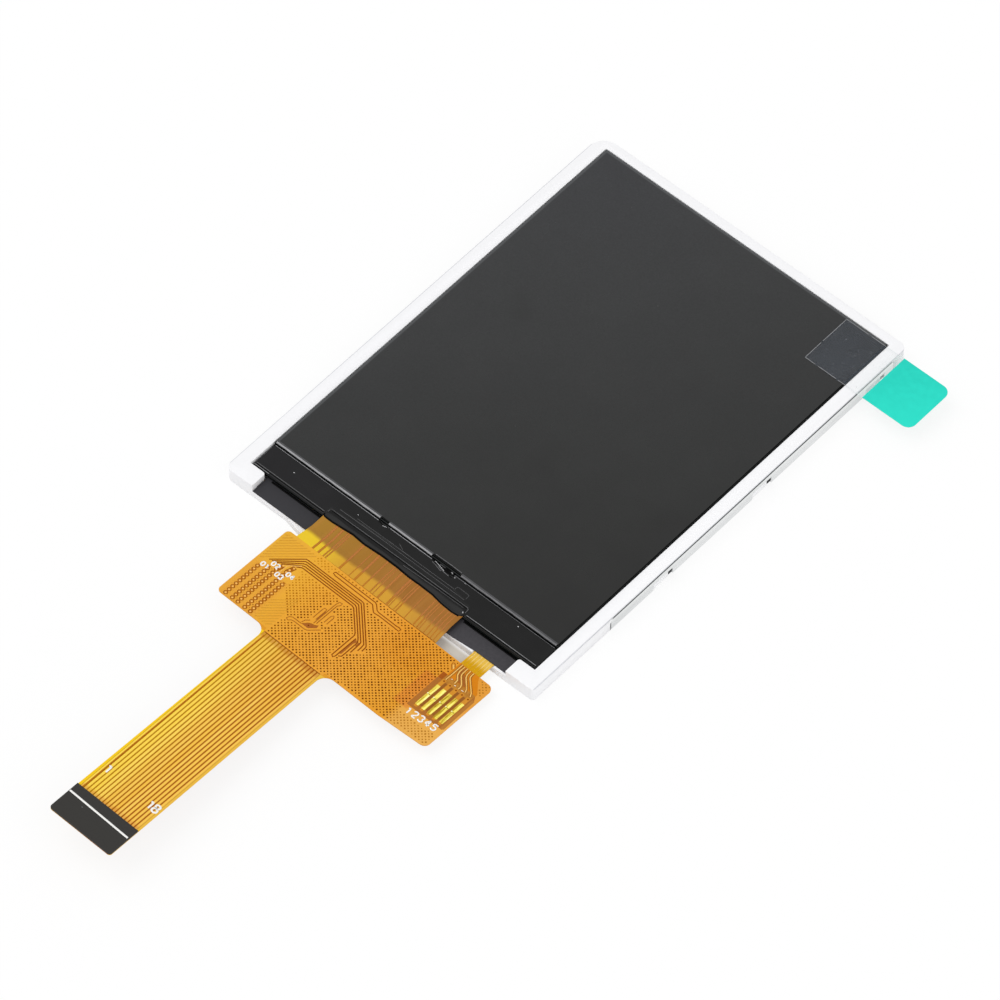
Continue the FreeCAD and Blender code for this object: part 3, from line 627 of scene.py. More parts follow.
def flexFilmFinish():
    # amber film: brown over the dark tape, yellow past it, a golden arm to the lamps, pale on top as a painted
    # highlight and darker below in painted shade, orange beside the body's cover, and the tones between the
    # lines of the tail
    shader, place = newMaterial("amberFilm", roughness=0.3, gloss=0.08)
    x, y = axesOf(place)[:2]
    cloud = noiseOn(place, 160)
    tapeEdge = plus(y, spanOf(cloud, 0.2, 0.8, -0.4, 0.4))
    overTape = mixOf(spanOf(x, -11, 4), (166, 122, 46), (156, 104, 44))
    overTape = mixOf(spanOf(noiseOn(place, 300, 2, (3, 0.25, 1)), 0.45, 0.75, 0, 0.5), overTape, (184, 126, 60))
    pastTape = mixOf(easeOf(x, -10, -3), (236, 200, 46), (209, 155, 52))
    pastTape = mixOf(easeOf(x, 4, 10), pastTape, (190, 136, 52))
    neck = mixOf(easeOf(tapeEdge, -34.65, -35.4), overTape, pastTape)
    # painted light and shade: the arm is pale where it faces up and darker where it dips over shadow
    armLitTop = mixOf(spanOf(x, 15.9, 18.8), (228, 182, 68), (234, 192, 84))
    armShadedLow = mixOf(cloud, (204, 148, 6), (216, 164, 10))
    arm = mixOf(easeOf(tapeEdge, -35.0, -36.1), armLitTop, armShadedLow)
    upper = mixOf(bandOf(x, 13, 21, 0.1), neck, arm)
    tail = layersOf(mixOf(spanOf(x, -3.6, 2), (182, 128, 0), (164, 86, 0)),
                    (spanOf(x, -4.37, -4.43), (244, 202, 30)), (spanOf(x, 4.66, 4.72), (232, 184, 66)))
    lower = mixOf(spanOf(y, -49.85, -49.95), (222, 152, 40), tail)
    feed(shader, "Base Color", mixOf(spanOf(y, -40.0, -40.4), upper, lower))
    uneven(shader, noiseOn(place, 500), 0.22, 0.36)
    bumpFrom(shader, noiseOn(place, 320, 3, (2, 0.6, 1)), 0.12, 0.04)


def coverlayFinish():
    # orange coverlay over copper, yellower to the left, a warm stiffened patch beside the lamp lands
    shader, place = newMaterial("orangeCover", roughness=0.34, gloss=0.15)
    x, y = axesOf(place)[:2]
    base = rampOf(spanOf(x, -12.8, 20.9), [(0, (228, 171, 52)), (0.15, (232, 172, 48)), (0.3, (230, 158, 44)),
                                           (0.55, (232, 158, 50)), (0.8, (226, 152, 34)), (1, (230, 172, 84))])
    nearLow = times(easeOf(x, -6.2, -7.2, 0.7), easeOf(y, -41.5, -43.5))
    farUp = times(easeOf(x, 3, 9, 0.6), easeOf(y, -44, -41))
    farLow = times(easeOf(x, 13.8, 15.4, 0.7), easeOf(y, -45.6, -46.6))
    warm = times(times(bandOf(x, 13.2, 15.4, 0.25), bandOf(y, -46.4, -40.4, 0.15)), 0.55)
    feed(shader, "Base Color", layersOf(
        base, (nearLow, (226, 158, 52)), (farUp, (220, 136, 16)), (farLow, (232, 176, 88)),
        (spanOf(noiseOn(place, 140, 4), 0.3, 0.75, 0, 0.4), (236, 168, 58)), (warm, (218, 122, 44))))
    uneven(shader, noiseOn(place, 700), 0.26, 0.4)
    bumpFrom(shader, noiseOn(place, 2200, 2), 0.15, 0.02)


def tailLineFinish():
    # copper lines of the tail: yellow on the left third as a painted highlight, orange to the right, browner at
    # the root
    shader, place = newMaterial("tailCopper", roughness=0.36, gloss=0.18)
    x, y = axesOf(place)[:2]
    # painted highlight: yellow on the left third
    base = rampOf(spanOf(x, -4.4, 4.6), [(0, (250, 213, 68)), (0.3, (247, 207, 74)), (0.42, (241, 189, 68)),
                                         (1, (241, 187, 66))])
    rise = spanOf(y, -64, -51, 0, 0.5)
    root = times(easeOf(y, -50.9, -50.4), 0.8)
    end = easeOf(plus(y, spanOf(noiseOn(place, 900, 2), 0, 1, -0.5, 0.5)), -81.0, -81.6, 0.6)
    streak = spanOf(noiseOn(place, 420, 3, (2.2, 0.05, 1)), 0.35, 0.7, 0, 0.35)
    feed(shader, "Base Color", layersOf(base, (rise, (222, 158, 52)), (root, (198, 126, 38)),
                                        (end, (214, 132, 54)), (streak, (252, 218, 112))))
    uneven(shader, noiseOn(place, 600), 0.28, 0.42)


def hatchGapFinish():
    # openings in the copper: faint at the upper left, deep brown across the middle, paler past the lands
    shader, place = newMaterial("hatchGap", roughness=0.36, gloss=0.02)
    x, y = axesOf(place)[:2]
    lean = plus(plus(x, times(y, -0.5)), spanOf(noiseOn(place, 160, 2), 0, 1, -3, 3))
    base = rampOf(spanOf(lean, 13, 26), [(0, (200, 134, 28)), (0.3, (164, 96, 8)), (0.6, (106, 50, 0)),
                                         (1, (98, 44, 0))])
    far = times(easeOf(x, 14.2, 15.4, 0.8), spanOf(y, -46.0, -46.6))
    corner = times(easeOf(x, 18.4, 18.9, 0.7), spanOf(y, -40.0, -39.5))
    feed(shader, "Base Color", mixOf(mathOf("MAXIMUM", far, corner), base, (196, 130, 40)))


def neckLineFinish():
    # copper under the film of the neck: warm over the tape, browner on the bright part past it
    shader, place = newMaterial("neckLine", roughness=0.35, gloss=0.1)
    y = axesOf(place)[1]
    tone = mixOf(easeOf(y, -34.9, -35.3), (186, 116, 58), (192, 122, 34))
    patchy = spanOf(noiseOn(place, 520, 3, (1, 0.2, 1)), 0.35, 0.7, 0, 0.5)
    feed(shader, "Base Color", mixOf(patchy, tone, (178, 118, 50)))


def armLineFinish():
    # copper in the arm: pale where it leaves the tape, a painted highlight, golden where it dips to the body, in
    # painted shade
    shader, place = newMaterial("armLine", roughness=0.35, gloss=0.1)
    y = axesOf(place)[1]
    edge = plus(y, spanOf(noiseOn(place, 700, 2), 0, 1, -0.3, 0.3))
    feed(shader, "Base Color", mixOf(easeOf(edge, -35.2, -36.2), (245, 209, 124), (214, 160, 30)))


for makeFinish in (flexFilmFinish, coverlayFinish, tailLineFinish, hatchGapFinish, neckLineFinish,
                   armLineFinish):
    makeFinish()

# printed and etched marks, and painted glints and shade: two tones, roughness, gloss and the scale of their
# noise
marks = {
    "lineGap": ((134, 62, 0), (150, 78, 4), 0.4, 0.06), "slantTone": ((218, 154, 42), (224, 162, 50), 0.4, 0.1),
    "softGap": ((160, 92, 16), (176, 106, 26), 0.4, 0.1), "deepGap": ((160, 88, 10), (176, 104, 20), 0.4, 0.06),
    "bridgeBrown": ((158, 88, 28), (176, 104, 38), 0.4, 0.1, 3000),
    "stripeGold": ((240, 176, 84), (250, 196, 106), 0.4, 0.1),
    "stripeTooth": ((222, 152, 50), (230, 164, 58), 0.4, 0.1),
    "armFootOrange": ((204, 118, 8), (222, 136, 24), 0.36, 0.08, 500),
    "windowFilm": ((164, 100, 38), (178, 112, 46), 0.35, 0.1, 500),
    "windowPale": ((170, 110, 42), (190, 126, 54), 0.35, 0.1, 900),
    "bandBrown": ((156, 78, 12), (172, 92, 22), 0.35, 0.1, 700),
    "gapBrown": ((138, 80, 26), (154, 96, 34), 0.35, 0.1, 700),
    "copperOrange": ((204, 132, 34), (216, 148, 48), 0.32, 0.1, 900),
    "headBrown": ((160, 98, 26), (206, 144, 58), 0.32, 0.1, 2200),
    "lampShade": ((150, 88, 20), (182, 112, 36), 0.35, 0.1, 1500),
    "lampCopper": ((232, 172, 70), (252, 212, 126), 0.32, 0.2, 1200),
    "pinchOlive": ((168, 146, 36), (186, 164, 48), 0.4, 0.2),
    "paleGold": ((252, 246, 160), (254, 250, 200), 0.3, 0.4),
    "paleGlint": ((236, 226, 206), (250, 246, 236), 0.3, 0.3, 2000),
    "greyFleck": ((96, 96, 98), (130, 130, 132), 0.4, 0.1),
    "firstGap": ((176, 100, 8), (190, 116, 18), 0.4, 0.06, 500),
    "whiteInk": ((246, 245, 240), (253, 252, 250), 0.5, 0.2),
    "stiffBlack": ((40, 39, 37), (48, 46, 43), 0.55, 0.24, 2500)}
for name, values in marks.items():
    plainFinish(name, *values)
dress({"main_flex": "amberFilm", "flex_cover": "orangeCover", "tail_traces": "tailCopper",
       "tail_stiffener": "stiffBlack"})

# lines on the body of the circuit, seen from above in millimetres
bundle = {
    "gap": 0.15,
    "lines": [
        [(-11.25, -41.62), (-8.05, -38.42), (1.2, -38.38), (5.85, -43.05), (5.9, -43.9)],
        [(-10.85, -41.55), (-7.85, -38.73), (1.08, -38.69), (5.45, -43.05), (5.5, -44.2)],
        [(-10.3, -41.35), (-7.7, -39.06), (0.95, -39.02), (5.0, -43.08), (5.05, -45.0)],
        [(-9.72, -41.1), (-7.62, -39.4), (0.88, -39.36), (4.35, -42.85), (4.68, -43.3), (4.7, -46.1),
         (4.6, -46.35), (4.35, -46.4)],
        [(-8.2, -40.2), (-7.55, -39.75), (0.75, -39.7), (3.68, -42.62), (3.69, -46.85), (3.9, -47.08),
         (4.13, -46.85), (4.13, -43.0)]]}
pair = {
    "gap": 0.13,
    "lines": [
        [(-4.3, -37.38), (2.35, -37.37), (3.2, -38.2), (6.55, -38.2), (6.85, -38.08), (7.12, -38.25),
         (7.12, -38.5), (6.85, -38.68), (6.55, -38.56), (3.5, -38.56), (3.2, -38.72), (2.9, -38.58),
         (2.15, -37.83), (-4.15, -37.83), (-4.5, -37.62), (-4.3, -37.38)]]}
loops = {
    "gap": 0.12,
    "lines": [
        [(-1.0, -44.9), (-1.0, -40.9), (-0.9, -40.4), (-0.6, -40.22), (-0.37, -40.45), (-0.5, -40.8),
         (-0.72, -41.0), (-0.72, -44.7)],
        [(-1.62, -44.3), (-1.62, -42.35), (-1.4, -42.12), (-1.18, -42.35), (-1.18, -44.3)],
        [(-0.2, -43.9), (-0.2, -42.5), (0.02, -42.3), (0.22, -42.5), (0.22, -43.9)],
        [(-3.5, -46.75), (-3.85, -46.7), (-3.9, -46.4), (-3.4, -45.97), (-2.0, -45.97), (-1.3, -45.15),
         (-0.75, -45.1), (-0.3, -44.8)],
        [(-3.5, -46.75), (-3.15, -46.33), (-0.95, -46.33), (0.3, -45.05)],
        [(-2.15, -45.75), (-2.3, -45.55), (-1.6, -44.85)]]}
diamond = [(-1.95, -45.95), (-1.3, -45.2), (-0.75, -45.12), (-0.3, -44.85), (-0.2, -45.15), (-1.0, -45.95)]
gapFill = [[(4.16, -43.0), (4.62, -43.35), (4.42, -43.8), (4.42, -45.9), (4.2, -46.1)],
           [(4.78, -43.2), (5.05, -43.1), (5.0, -43.9), (4.78, -43.9)],
           [(-1.16, -42.6), (-1.04, -42.6), (-1.04, -44.2), (-1.16, -44.2)]]

# where things lie: a surface, and the slot of what lies on it
onCover, onLands = ("flex_cover", "orange_coverlay"), ("led_lands", "gold_plate")
inkOnCover, inkOnTail = ("flex_cover", "white_mould"), ("main_flex", "white_mould")
onNeck, onTail = ("main_flex", "amber_film"), ("main_flex", "gold_trace")
onStiffener, onTape = ("tail_stiffener", "black_stiffener"), ("rim_tape", "gloss_black")
onSealant, shadeOnFlex = ("ledgeSealant", "gloss_black"), ("main_flex", "gloss_black")
onFilm, onStrip = ("protective_film", "clear_film"), ("pull_tab_strip", "clear_film")
filmOnSealant = ("ledgeSealant", "clear_film")

linesOn("bundleGaps", onCover, bundle["lines"], bundle["gap"], "lineGap")
linesOn("pairGaps", onCover, pair["lines"], pair["gap"], "lineGap", corner=0.16)
linesOn("loopGaps", onCover, loops["lines"], loops["gap"], "softGap", corner=0.2)


def topAt(surface, x, y, above=60 * mm, near=2 * mm):
    # height of a surface at a place, or of its nearest point where the place is just past its edge
    hit = surface.ray_cast(Vector((x, y, above)), Vector((0, 0, -1)))[0]
    return hit.z if hit else surface.find_nearest(Vector((x, y, near)))[0].z


def patchesOn(name, place, outlines, finish, thickness=0.01, lift=0.003, corner=0.0):
    # flat closed patches that lie on a surface
    surface, slot = place
    below = surfaceNamed(surface).data
    tree = BVHTree.FromPolygons([v.co for v in below.vertices], [p.vertices for p in below.polygons])
    mesh = bpy.data.meshes.new(name)
    corners, faces = [], []
    for outline in outlines:
        outline = roundOff(outline, corner) if corner else outline
        turn = sum(a[0] * b[1] - b[0] * a[1] for a, b in zip(outline, outline[1:] + outline[:1]))
        outline = outline if turn > 0 else outline[::-1]
        size, first = len(outline), len(corners)
        for depth in (lift, lift - thickness):
            for x, y in outline:
                corners.append(Vector((x * mm, y * mm, topAt(tree, x * mm, y * mm) + depth * mm)))
        faces.append(tuple(range(first, first + size)))
        faces.append(tuple(range(first + 2 * size - 1, first + size - 1, -1)))
        faces += [(first + i, first + size + i, first + size + (i + 1) % size, first + (i + 1) % size)
                  for i in range(size)]
    mesh.from_pydata(corners, [], faces)
    settle(addPiece(name, mesh, finish), slot)


def roundOff(outline, radius, steps=4):
    # every corner of a closed outline cut by a short curve
    made = []
    for before, here, after in zip(outline[-1:] + outline[:-1], outline, outline[1:] + outline[:1]):
        here = Vector(here)
        toBefore, toAfter = Vector(before) - here, Vector(after) - here
        reach = min(radius, toBefore.length * 0.45, toAfter.length * 0.45)
        first, last = here + toBefore.normalized() * reach, here + toAfter.normalized() * reach
        for step in range(steps + 1):
            t = step / steps
            made.append(tuple(first.lerp(here, t).lerp(here.lerp(last, t), t)))
    return made


patchesOn("bridgePatch", onCover, [diamond], "bridgeBrown", corner=0.12)
patchesOn("gapFill", onCover, gapFill, "bridgeBrown", corner=0.06)

# five stripes to the left where the hatch turns over: fine crossing gaps round small squares of copper
stripes = {"width": 0.62, "pitch": 0.565, "square": 0.17, "squaresFrom": 0.31, "tooth": 0.21,
           "teethFrom": 0.0275, "lift": 0.008, "track": [(-9.03, -42.2), (-9.03, -40.82), (-7.72, -39.6)],
           "trackWidth": 0.14, "runs": [[(-11.57, -49.27), (-11.57, -42.95)],
                                        [(-10.47, -49.27), (-10.47, -42.3)],
                    [(-9.57, -49.27), (-9.57, -41.9), (-9.33, -41.1)],
                    [(-8.45, -49.27), (-8.45, -41.4), (-8.12, -40.35)], [(-7.55, -49.27), (-7.55, -42.9)]],
           "turned": [[(-9.5, -41.6), (-9.36, -41.15)], [(-8.38, -41.1), (-8.16, -40.55)]]}


def stripeRows(aside, above):
    # straight rows beside the stripes' middle lines, a whole number of pitches long
    rows = []
    for (x, foot), (_, top) in (run[:2] for run in stripes["runs"]):
        steps = math.floor((top - foot - above) / stripes["pitch"])
        rows.append([(x + aside, foot + above), (x + aside, foot + above + steps * stripes["pitch"])])
    return rows


half, pitch, teethFrom = stripes["width"] / 2, stripes["pitch"], stripes["teethFrom"]
linesOn("stripeGaps", onCover, stripes["runs"], stripes["width"], "deepGap", step=1.0)
dotsOn("stripeCopper", onCover, stripeRows(0.0, stripes["squaresFrom"]) + stripes["turned"], stripes["square"],
       pitch, "stripeGold", stripes["lift"])
dotsOn("stripeTeeth", onCover, stripeRows(half, teethFrom) + stripeRows(-half, teethFrom), stripes["tooth"],
       pitch, "stripeTooth", stripes["lift"])
linesOn("stripeTrack", onCover, [stripes["track"]], stripes["trackWidth"], "stripeGold", lift=0.012, corner=0.1)

# square hatch over the rest of the copper, its openings turned with the hatch lines
hatch = {"pitch": 0.4, "opening": 0.13, "smallest": 0.76, "largest": 1.2, "seed": 5, "turn": 45, "count": 92,
         "clearance": 0.27, "thickness": 0.008, "lift": 0.001,
         "areas": [[(-7.3, -38.1), (-7.3, -36.98), (15.3, -36.98), (15.3, -39.0), (14.65, -39.0),
                    (14.65, -46.0), (14.95, -47.15), (20.4, -46.95), (20.4, -48.7), (13.5, -49.15),
                    (4.8, -49.3), (4.8, -49.65), (-4.3, -49.65), (-4.3, -46.4), (-7.1, -43.5), (-7.1, -40.3),
                    (-7.6, -39.9)],
                   [(19.0, -37.05), (20.45, -37.05), (20.45, -39.1), (20.2, -39.1)]]}
keepClear = bundle["lines"] + pair["lines"] + loops["lines"] + [diamond + diamond[:1]]
keepClear += [[(-4.3, -37.6), (2.25, -37.6), (3.1, -38.4), (6.9, -38.4)], [(14.75, -37.45), (15.4, -38.2)]]
hatchOn("hatchOpenings", onCover, hatch, keepClear, "hatchGap")


# on the left the hatch's slanting gaps run on as lines
slants = {"pitch": 0.565, "width": 0.15, "shortest": 0.3,
          "boxes": [(-42.1, -37.2, -12.3, -7.5, -29.8, -25.0), (-49.1, -43.6, -7.0, -4.4, -45.2, -38.6)]}


def slantRuns():
    # lines that rise one to one, cut to each box; start and last say where they would cross x = 0
    runs = []
    for low, high, left, right, start, last in slants["boxes"]:
        while start < last:
            begin, end = max(left, low - start), min(right, high - start)
            if end - begin > slants["shortest"]:
                runs.append([(begin, begin + start), (end, end + start)])
            start += slants["pitch"]
    return runs


linesOn("hatchSlants", onCover, slantRuns(), slants["width"], "slantTone", corner=0.0, step=1.0)
print("circuit body done")

# window in the coverlay over the lamp lands, with the lines that come down from the arm
lands = {"window": [(14.82, -39.25), (20.0, -39.3), (20.42, -40.0), (20.42, -45.75), (14.85, -45.8)],
         "band": [(14.82, -39.18), (15.45, -39.18), (15.45, -40.2), (14.82, -40.2)],
         "plain": [(15.42, -36.8), (18.4, -36.8), (18.75, -37.4), (20.0, -38.95), (20.0, -39.4), (15.42, -39.4)],
         "head": [(15.5, -39.25), (19.95, -39.25), (19.95, -40.25), (15.5, -40.25)],
         "right": [(20.1, -39.9), (20.45, -39.9), (20.55, -45.6), (20.1, -45.7)],
         "shadow": [(16.0, -37.3), (16.5, -37.2), (17.3, -38.2), (18.3, -39.2), (16.9, -39.2), (16.2, -38.5)],
         "glints": [[(17.08, -39.8), (17.28, -39.7), (17.34, -39.78), (17.14, -39.88)],
                    [(16.18, -39.36), (16.4, -39.28), (16.42, -39.34), (16.2, -39.42)],
                    [(18.2, -39.72), (18.5, -39.7), (18.5, -39.78), (18.2, -39.8)]],
         "first": 15.8, "pitch": 0.957, "pinch": -42.9, "viaAside": 0.03, "viaY": -40.22, "viaRadius": 0.13}
landPlaces = [lands["first"] + i * lands["pitch"] for i in range(5)]


def landBoxes(low, high, left, right):
    # one small box on every land, counted from the land's middle
    return [[(x + left, low), (x + right, low), (x + right, high), (x + left, high)] for x in landPlaces]


def ringAt(x, y, radius, sides=8):
    turns = [math.tau * side / sides for side in range(sides)]
    return [(x + radius * math.cos(turn), y + radius * math.sin(turn)) for turn in turns]


landVias = [ringAt(x + lands["viaAside"], lands["viaY"], lands["viaRadius"]) for x in landPlaces]
coverPatches = {  # outlines, finish, lift and corner
    "armFoot": ([lands["plain"]], "armFootOrange", 0.003, 0.1),
    "landWindow": ([lands["window"]], "windowFilm", 0.005, 0.12),
    "windowBand": ([lands["band"]], "bandBrown", 0.008, 0.08),
    "windowGaps": (landBoxes(-44.9, -40.3, 0.3, 0.62)[:4], "gapBrown", 0.008, 0.12),
    "headSheet": ([lands["head"]], "headBrown", 0.009, 0.1),
    "headGlints": (lands["glints"], "paleGlint", 0.018, 0.05),
    "landHeads": (landBoxes(-41.2, -40.0, -0.27, 0.25), "copperOrange", 0.011, 0.1),
    "lampShadow": ([lands["shadow"]], "bridgeBrown", 0.005, 0.2),
    "windowRight": ([lands["right"]], "windowPale", 0.009, 0.12),
    "landVias": (landVias, "lineGap", 0.014, 0.0),
    "landFeet": (landBoxes(-45.4, -45.05, -0.22, 0.22), "copperOrange", 0.009, 0.1)}
for name, (outlines, finish, lift, corner) in coverPatches.items():
    patchesOn(name, onCover, outlines, finish, lift=lift, corner=corner)
patchesOn("landPinch", onLands, landBoxes(lands["pinch"] - 0.08, lands["pinch"] + 0.05, -0.26, 0.26),
          "pinchOlive", lift=0.004, thickness=0.006, corner=0.04)
# painted glints on the lands
patchesOn("landGlints", onLands, landBoxes(lands["pinch"] - 0.06, lands["pinch"] + 0.12, -0.27, -0.08),
          "paleGold", lift=0.008, thickness=0.006, corner=0.06)
lampLines = {
    "width": 0.15, "shade": 0.36,
    "lines": [
        [(15.82, -36.85), (15.83, -38.9), (15.8, -39.9)],
        [(16.2, -36.9), (16.18, -37.8), (16.36, -38.4), (16.88, -38.98), (16.95, -39.6)],
        [(16.62, -36.85), (16.65, -37.9), (16.78, -38.22), (17.62, -39.08), (17.82, -39.5), (17.8, -39.9)],
        [(17.1, -36.85), (17.15, -37.6), (17.36, -38.0), (18.55, -39.22), (18.72, -39.7)],
        [(17.6, -36.85), (17.62, -37.4), (17.74, -37.72), (19.3, -39.22), (19.6, -39.75)]],
    "via": [(15.35, -38.3), (14.8, -37.75), (14.72, -37.45), (14.95, -37.32), (15.2, -37.5), (15.4, -37.8)],
    "viaCopper": [(15.4, -38.05), (15.0, -37.62)]}
linesOn("lampLineShade", onCover, lampLines["lines"], lampLines["shade"], "lampShade", lift=0.008, step=0.2)
linesOn("lampLineCopper", onCover, lampLines["lines"], lampLines["width"], "lampCopper", lift=0.014, step=0.2)
linesOn("lampVia", onCover, [lampLines["via"]], 0.12, "softGap", corner=0.12, step=0.2)
linesOn("lampViaCopper", onCover, [lampLines["viaCopper"]], 0.16, "lampCopper", lift=0.008, step=0.2)


def goldFinish():
    # plated lands and fingers, brushed along their length: each land is brighter along its right half, a painted
    # highlight, and the ones further right are a little duller
    shader, place = newMaterial("platedGold", metallic=1.0, roughness=0.3)
    x = axesOf(place)[0]
    streak = noiseOn(place, 1500, 4, (2.5, 0.3, 1), 0.65)
    # painted highlight: each land brighter along its right half
    acrossLand = mathOf("MODULO", plus(x, lands["pitch"] * 5.5 - lands["first"]), lands["pitch"])
    dull = plus(easeOf(x, 16.6, 18.2, 0.07), 0.05)
    level = mathOf("SUBTRACT", plus(streak, easeOf(acrossLand, 0.36, 0.62, 0.17)), dull)
    feed(shader, "Base Color", rampOf(level, [(0.32, (176, 148, 34)), (0.45, (222, 196, 74)),
                                              (0.58, (246, 232, 104)), (0.72, (255, 252, 160))]))
    uneven(shader, streak, 0.2, 0.45)
    bumpFrom(shader, streak, 0.3, 0.04)


goldFinish()
dress({"led_lands": "platedGold", "contact_fingers": "platedGold"})

# plain numbers beside the pads, lands and tail, drawn in strokes as a printed legend is
digitStrokes = {
    "0": [(0, 0.5), (-0.24, 0.4), (-0.32, 0.15), (-0.32, -0.15), (-0.24, -0.4), (0, -0.5), (0.24, -0.4),
          (0.32, -0.15), (0.32, 0.15), (0.24, 0.4), (0, 0.5)],
    "1": [(-0.2, 0.3), (0.06, 0.5), (0.06, -0.5)],
    "2": [(-0.32, 0.28), (-0.22, 0.46), (0.05, 0.5), (0.28, 0.42), (0.32, 0.2), (0.18, -0.02), (-0.34, -0.5),
          (0.36, -0.5)],
    "3": [(-0.32, 0.36), (-0.15, 0.5), (0.14, 0.5), (0.3, 0.34), (0.26, 0.12), (0.0, 0.04), (0.28, -0.08),
          (0.34, -0.32), (0.14, -0.5), (-0.15, -0.5), (-0.34, -0.36)],
    "4": [(0.14, -0.5), (0.14, 0.5), (0.1, 0.5), (-0.36, -0.2), (0.4, -0.2)],
    "5": [(0.3, 0.5), (-0.26, 0.5), (-0.3, 0.08), (0.05, 0.14), (0.3, 0.0), (0.34, -0.24), (0.16, -0.48),
          (-0.12, -0.5), (-0.34, -0.36)],
    "8": [(0, 0.04), (-0.28, 0.16), (-0.28, 0.42), (0, 0.52), (0.28, 0.42), (0.28, 0.16), (0, 0.04),
          (-0.32, -0.12), (-0.32, -0.42), (0, -0.54), (0.32, -0.42), (0.32, -0.12), (0, 0.04)]}


def numberLines(marks, height, spacing=0.74):
    # the strokes of every digit of every mark, each mark centred on its place
    lines = []
    for text, x, y in marks:
        for index, digit in enumerate(text):
            middle = x + (index - (len(text) - 1) / 2) * height * spacing
            lines.append([(middle + a * height, y + b * height) for a, b in digitStrokes[digit]])
    return lines


numbers = {"pads": [("01", -11.0, -42.62), ("02", -10.08, -41.72), ("03", -8.72, -42.62), ("04", -7.74, -41.7)],
           "lands": [(str(i + 1), x - 0.08, -46.4 + 0.07 * i) for i, x in enumerate(landPlaces)],
           "tail": [("1", -3.63, -77.75), ("18", 3.86, -78.03)]}
linesOn("padNumbers", inkOnCover, numberLines(numbers["pads"], 0.66, 0.92), 0.19, "whiteInk", lift=0.018,
        corner=0.06, step=0.1)
linesOn("landNumbers", inkOnCover, numberLines(numbers["lands"], 0.92), 0.2, "whiteInk", lift=0.014,
        corner=0.08, step=0.1)
linesOn("tailNumbers", inkOnTail, numberLines(numbers["tail"], 1.16), 0.26, "whiteInk", lift=0.03, corner=0.12,
        step=0.12)
linesOn("stiffenerMark", onStiffener, [[(-4.68, -83.28), (4.86, -83.52)]], 0.27, "whiteInk", step=0.5)
linesOn("stiffenerFleck", onStiffener, [[(-2.05, -84.02), (-1.9, -84.1)]], 0.1, "greyFleck", step=0.1)
linesOn("tailFirstGap", onTail, [[(-3.95, -50.4), (-4.02, -81.8)]], 0.2, "firstGap", lift=0.022, corner=0.0,
        step=0.5)

# copper lines seen through the neck and the arm; each line slants a little
neckLines = {"high": -31.6, "bend": -34.0, "low": -36.74, "bendSlant": 0.07, "slant": 0.22,
             "rows": {0.3: [-8.9, -8.0, -4.6, -2.15, 1.6, 3.05],
                      0.2: [-7.22, -6.86, -0.8, 0.36, 4.5, 7.35, 7.9],
                      0.13: [-3.05, 0.8, 3.4, 4.15, 5.9, 8.25, 9.0, 9.6, 10.1, 10.6]}}


def neckLineAt(x):
    return [(x, neckLines["high"]), (x + neckLines["bendSlant"], neckLines["bend"]),
            (x + neckLines["slant"], neckLines["low"])]


for width, places in neckLines["rows"].items():
    linesOn("neckCopper%d" % round(width * 100), onNeck, [neckLineAt(x) for x in places], width, "neckLine",
            corner=0.0, lift=0.006, step=0.2)
# painted shade line along the edge of the body's cover
linesOn("coverEdge", onNeck, [[(-8.6, -36.75), (11.2, -36.69)]], 0.09, "lineGap", step=0.5)
linesOn("tongueEdge", onTail, [[(-4.3, -49.93), (4.62, -49.93)]], 0.1, "lineGap", lift=0.022, step=0.25)
armLines = {"places": [15.75, 16.22, 16.7, 17.2, 17.7, 18.15], "width": 0.13, "high": -33.4, "low": -36.8}
linesOn("armCopper", onNeck, [[(x, armLines["high"]), (x, armLines["low"])] for x in armLines["places"]],
        armLines["width"], "armLine", corner=0.0, step=0.15)
print("circuit marks done")

# black sealant over the driver ledge, with its bead on the circuit's bond
ledge = {"columns": 520, "rows": 64, "level": 1.985, "foot": 1.905, "top": 2.149, "gap": 0.003, "endFade": 0.1,
         "endShare": 0.05, "frontRim": 0.14, "backRim": 0.1}
bead = {"crest": 2.135, "middle": -31.15, "spread": 0.62, "half": 11.45, "shoulder": 0.4, "back": -30.7,
        "bottomBack": -30.62}
wave = {"height": 0.004, "across": (2.3, 4), "along": (5.1, -0.7)}
beadEdge = [(-11.42, -30.9), (-11.38, -31.5), (-11.24, -31.82), (-10.9, -31.9), (-9.77, -31.92),
            (-8.11, -31.79), (-6.59, -31.66), (-4.71, -31.82), (-1.97, -31.67), (0.55, -31.7), (2.77, -31.85),
            (4.33, -31.82), (6.5, -31.88), (8.0, -32.12), (9.9, -32.24), (10.9, -32.12), (11.28, -31.92),
            (11.4, -31.5), (11.43, -30.9)]
wrinkles = [  # height, reach and line
    (0.030, 0.10, [(-11.07, -30.74), (-5.73, -30.28), (1.25, -30.16), (6.5, -30.3), (11.0, -30.45)]),
    (0.026, 0.08, [(-10.32, -29.92), (-7.93, -29.79), (-3.74, -29.72), (0.64, -29.49)]),
    (0.024, 0.09, [(-0.44, -31.0), (5.95, -30.95), (11.08, -30.6)]),
    (0.022, 0.06, [(-7.87, -29.58), (-4.89, -29.83), (-1.52, -29.42), (-0.65, -29.42)]),
    (0.030, 0.07, [(3.79, -28.19), (5.46, -28.53), (6.88, -28.32)]),
    (0.022, 0.06, [(7.81, -29.62), (9.75, -29.86)]),
    (-0.03, 0.09, [(-5.6, -28.1), (-4.9, -28.3), (-4.3, -28.05)]),
    (0.020, 0.08, [(-11.3, -30.6), (-11.35, -31.2), (-11.0, -31.75)]),
    (0.020, 0.08, [(11.3, -30.6), (11.4, -31.2), (11.1, -31.8)])]


